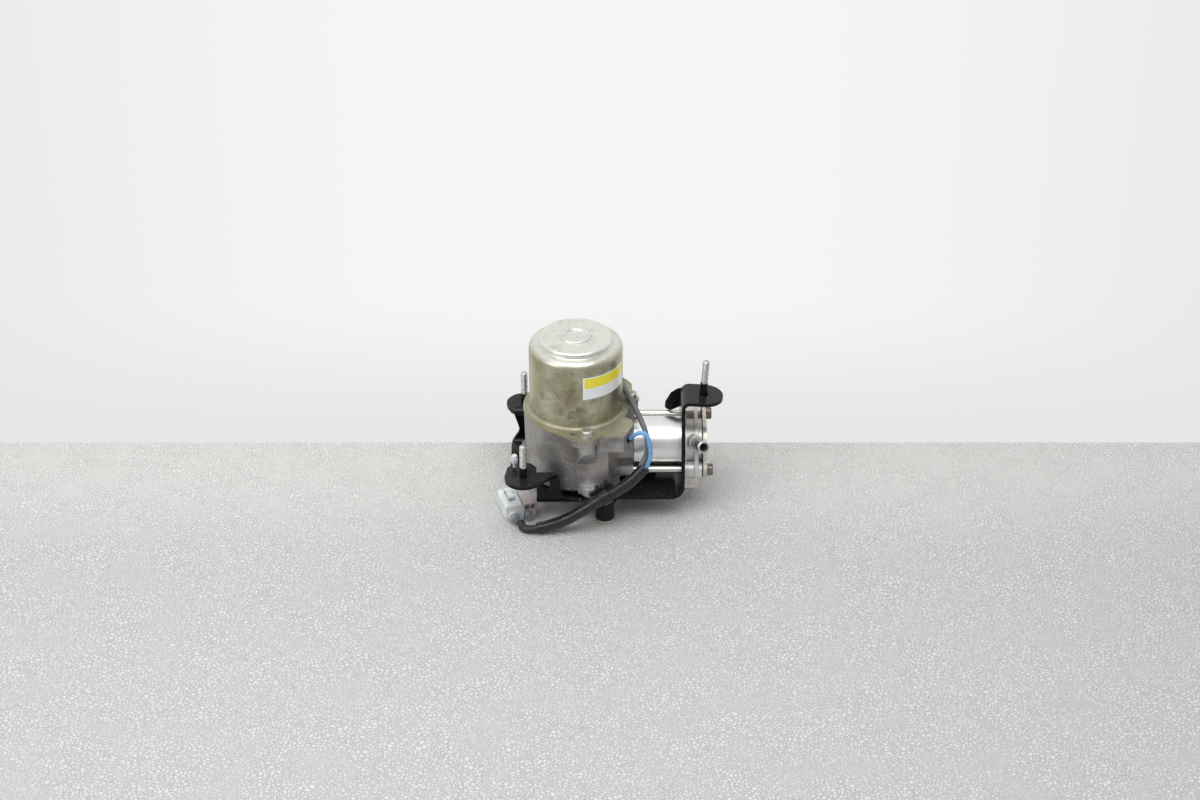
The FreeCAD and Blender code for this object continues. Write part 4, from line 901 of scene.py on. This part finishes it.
class PUMP_OT_bracket(bpy.types.Operator):
    """Painted bracket with its three studs"""
    bl_idname = "pump.bracket"
    bl_label = "Bracket and studs"

    TIP = 0.001               # threaded length past the grip, with a chamfer at its end
    HEAD_DROP = 0.0054        # lower face of the pressed head, under the ear's top
    PAINT = 0.0003            # thickness of the paint on the thread
    AROUND = 24               # points in a ring
    STEPS = 8                 # rings in a turn of the thread

    def ring(self, radius_at, z):
        angles = (2 * math.pi * k / self.AROUND for k in range(self.AROUND))
        return [Vector((math.cos(angle) * radius_at(k), math.sin(angle) * radius_at(k), z))
                for k, angle in enumerate(angles)]

    def stud(self, sizes, node, lean, collar):
        """Stud with a cut thread, painted with the ear over its lower length."""
        low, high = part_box(node)
        turn = Matrix.Rotation(lean, 3, "Y")
        length = collar + sizes.grip + self.TIP
        top = (low + high) / 2 + turn @ Vector((0, 0, (length + self.HEAD_DROP) / 2))
        base = top - turn @ Vector((0, 0, length))
        head = ((sizes.flange - 0.0006, -self.HEAD_DROP), (sizes.flange, -0.0048),
                (sizes.flange, -0.0033), (sizes.flange - 0.0002, -0.0032), (sizes.radius, -0.0031))
        rows = [self.ring(lambda k: radius, z) for radius, z in head]
        step = sizes.pitch / self.STEPS
        for i in range(round(length / step) + 1):
            z = i * step

            def threaded(k):
                turned = (z / sizes.pitch - k / self.AROUND) % 1.0
                groove = sizes.depth * (1 - abs(2 * turned - 1))
                outer = sizes.radius
                if z < collar:
                    groove *= 0.4
                    outer += self.PAINT
                return min(outer - groove, sizes.radius - 0.0009 + (length - z))

            rows.append(self.ring(threaded, z))
        verts, faces = skin_rows(rows)
        places = [base + turn @ v for v in verts]
        made = piece_from(node + "_thread", places, faces, ["dipped_paint", "zinc_plate"])
        for face in made.data.polygons:
            heights = [verts[v].z for v in face.vertices]
            face.material_index = int(sum(heights) / len(heights) > collar)
        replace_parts(made, node)

    def execute(self, context):
        sizes = context.scene.pump_studs
        self.stud(sizes, "stud_front", 0.0, sizes.collar)
        self.stud(sizes, "stud_rear", 0.0, sizes.collar)
        self.stud(sizes, "stud_right", EAR_LEAN, sizes.long_collar)
        dress("dipped_paint", "bracket")
        dress("aged_nylon", "ear_clip")
        return {"FINISHED"}


class PUMP_OT_feet(bpy.types.Operator):
    """Rubber isolators with their washers and bolts"""
    bl_idname = "pump.feet"
    bl_label = "Feet"

    def execute(self, context):
        dress("black_rubber", "isolator_feet")
        dress("washer_gold", "foot_washers")
        dress("browned_steel", "foot_bolts")
        return {"FINISHED"}


class PUMP_OT_connector(bpy.types.Operator):
    """Connector housing, its retainer and the wire seals"""
    bl_idname = "pump.connector"
    bl_label = "Connector"

    def execute(self, context):
        dress("aged_nylon", "connector_housing")
        dress("retainer_nylon", "connector_retainer")
        dress("grey_silicone", "wire_seals")
        return {"FINISHED"}


class PUMP_OT_stage(bpy.types.Operator):
    """Grained floor, wall, sky and lamps"""
    bl_idname = "pump.stage"
    bl_label = "Stage"

    def sheet(self, name, corners, material):
        mesh = bpy.data.meshes.new(name)
        mesh.from_pydata(corners, [], [(0, 1, 2, 3)])
        mesh.materials.append(material)
        made = bpy.data.objects.new(name, mesh)
        into_scene(made)

    def one_sided(self, tree, front):
        """Shows a sheet's front only, so that a camera behind it sees through."""
        back = add(tree, "ShaderNodeNewGeometry").outputs["Backfacing"]
        clear = add(tree, "ShaderNodeBsdfTransparent")
        both = add(tree, "ShaderNodeMixShader", {0: back, 1: front, 2: clear.outputs[0]})
        tree.links.new(both.outputs[0], tree.nodes["Material Output"].inputs["Surface"])

    def floor_sheet(self, stage):
        """Grained sheet, its grain fainter towards the wall, where its colour is lightened as a
        painted light.
        """
        material, tree, shader = blank("floor_sheet", 0.0, Roughness=0.62)
        place = object_place(tree)
        swirl = add(tree, "ShaderNodeTexNoise", {"Vector": place, "Scale": 90.0, "Detail": 3.0})
        bent = add(tree, "ShaderNodeMix", {"Factor": 0.006}, data_type="VECTOR")
        tree.links.new(place, bent.inputs[4])
        tree.links.new(swirl.outputs["Color"], bent.inputs[5])
        cells = add(tree, "ShaderNodeTexVoronoi", {"Vector": bent.outputs[1], "Scale": 330.0},
                    feature="DISTANCE_TO_EDGE").outputs["Distance"]
        grain = times(tree, remap(tree, cells, 0.0, 0.22),
                      remap(tree, noise_at(tree, place, 26.0, 3.0), 0.25, 0.6, 0.35, 1.0))
        nearer = remap(tree, in_frame(tree)[1], -0.16, 0.09)
        # Painted light: the floor is made lighter towards the wall, lifting the shade there
        base = mixed(tree, nearer, stage.floor, stage.floor_far_lit)
        depth = remap(tree, nearer, 0.0, 1.0, 0.42, 0.2)
        share = times(tree, maths(tree, "SUBTRACT", 1.0, grain), depth)
        creased = mixed(tree, share, base, (0.16, 0.155, 0.15))
        colour_to(tree, shader, creased)
        bump_to(tree, shader, grain, 0.0006, 0.9)
        self.one_sided(tree, shader.outputs[0])
        return material

    def wall_sheet(self, stage):
        """Smooth pale wall; what the camera and reflections see of it glows bright, with painted
        shade towards both sides and just above the floor.
        """
        material, tree, shader = blank("wall_sheet", 0.0, Roughness=0.8)
        shader.inputs["Base Color"].default_value = (*stage.wall, 1.0)
        place = in_frame(tree)
        # Painted shade: the wall is darkened towards both sides and along its foot
        side_shade = remap(tree, maths(tree, "ABSOLUTE", plus(tree, place[0], 0.02)), 0.1, 0.75)
        seen = mixed(tree, side_shade, stage.wall_seen, stage.wall_side_shade)
        seen = mixed(tree, remap(tree, place[2], 0.0, 0.16, 1.0, 0.0), seen, stage.wall_foot_shade)
        seen = add(tree, "ShaderNodeEmission", {"Color": seen})
        path = add(tree, "ShaderNodeLightPath").outputs
        direct = maths(tree, "MAXIMUM", path["Is Camera Ray"], path["Is Glossy Ray"])
        both = add(tree, "ShaderNodeMixShader",
                   {0: direct, 1: shader.outputs[0], 2: seen.outputs[0]})
        self.one_sided(tree, both.outputs[0])
        return material

    def lamp(self, name, power, size, place, target):
        data = bpy.data.lights.new(name, "AREA")
        data.shape = "RECTANGLE"
        data.size, data.size_y = size
        data.energy = power
        made = bpy.data.objects.new(name, data)
        made.location = place
        made.rotation_euler = (Vector(target) - Vector(place)).to_track_quat("-Z", "Y").to_euler()
        into_scene(made)

    def execute(self, context):
        stage = context.scene.pump_stage
        far = 7.0
        y = stage.wall_at
        self.sheet("floor", [(-far, -far, 0), (far, -far, 0), (far, far, 0), (-far, far, 0)],
                   self.floor_sheet(stage))
        self.sheet("wall", [(far, y, 0), (far, y, far), (-far, y, far), (-far, y, 0)],
                   self.wall_sheet(stage))
        world = context.scene.world or bpy.data.worlds.new("sky")
        context.scene.world = world
        world.use_nodes = True
        sky = world.node_tree.nodes["Background"]
        sky.inputs["Color"].default_value = (0.95, 0.97, 1.0, 1.0)
        sky.inputs["Strength"].default_value = stage.ambient
        self.lamp("overhead", stage.key, size=(1.6, 1.0), place=(-0.1, -0.55, 1.6),
                  target=(0, 0, 0.05))
        self.lamp("left", stage.side, size=(0.9, 1.2), place=(-1.5, -1.0, 1.0),
                  target=(0, 0, 0.08))
        context.scene.view_settings.view_transform = "Standard"
        return {"FINISHED"}


STEPS = ("camera", "cords", "motor", "inside", "cylinder", "bracket", "feet", "connector", "stage")


class PUMP_PT_panel(bpy.types.Panel):
    """Steps that dress the pump"""
    bl_idname = "PUMP_PT_panel"
    bl_label = "Vacuum pump"
    bl_space_type = "VIEW_3D"
    bl_region_type = "UI"
    bl_category = "Pump"

    def draw(self, context):
        for step in STEPS:
            self.layout.operator("pump." + step)


GROUPS = {"pump_cords": PumpCords, "pump_studs": PumpStuds, "pump_look": PumpLook,
          "pump_stage": PumpStage}
CLASSES = (PUMP_OT_camera, PUMP_OT_cords, PUMP_OT_motor, PUMP_OT_inside, PUMP_OT_cylinder,
           PUMP_OT_bracket, PUMP_OT_feet, PUMP_OT_connector, PUMP_OT_stage, PUMP_PT_panel)


def register():
    for name, group in GROUPS.items():
        bpy.utils.register_class(group)
        setattr(bpy.types.Scene, name, bpy.props.PointerProperty(type=group))
    for cls in CLASSES:
        bpy.utils.register_class(cls)


def unregister():
    for cls in reversed(CLASSES):
        bpy.utils.unregister_class(cls)
    for name, group in reversed(GROUPS.items()):
        delattr(bpy.types.Scene, name)
        bpy.utils.unregister_class(group)


def main():
    register()
    for step in STEPS:
        getattr(bpy.ops.pump, step)()


if __name__ == "__main__":
    main()
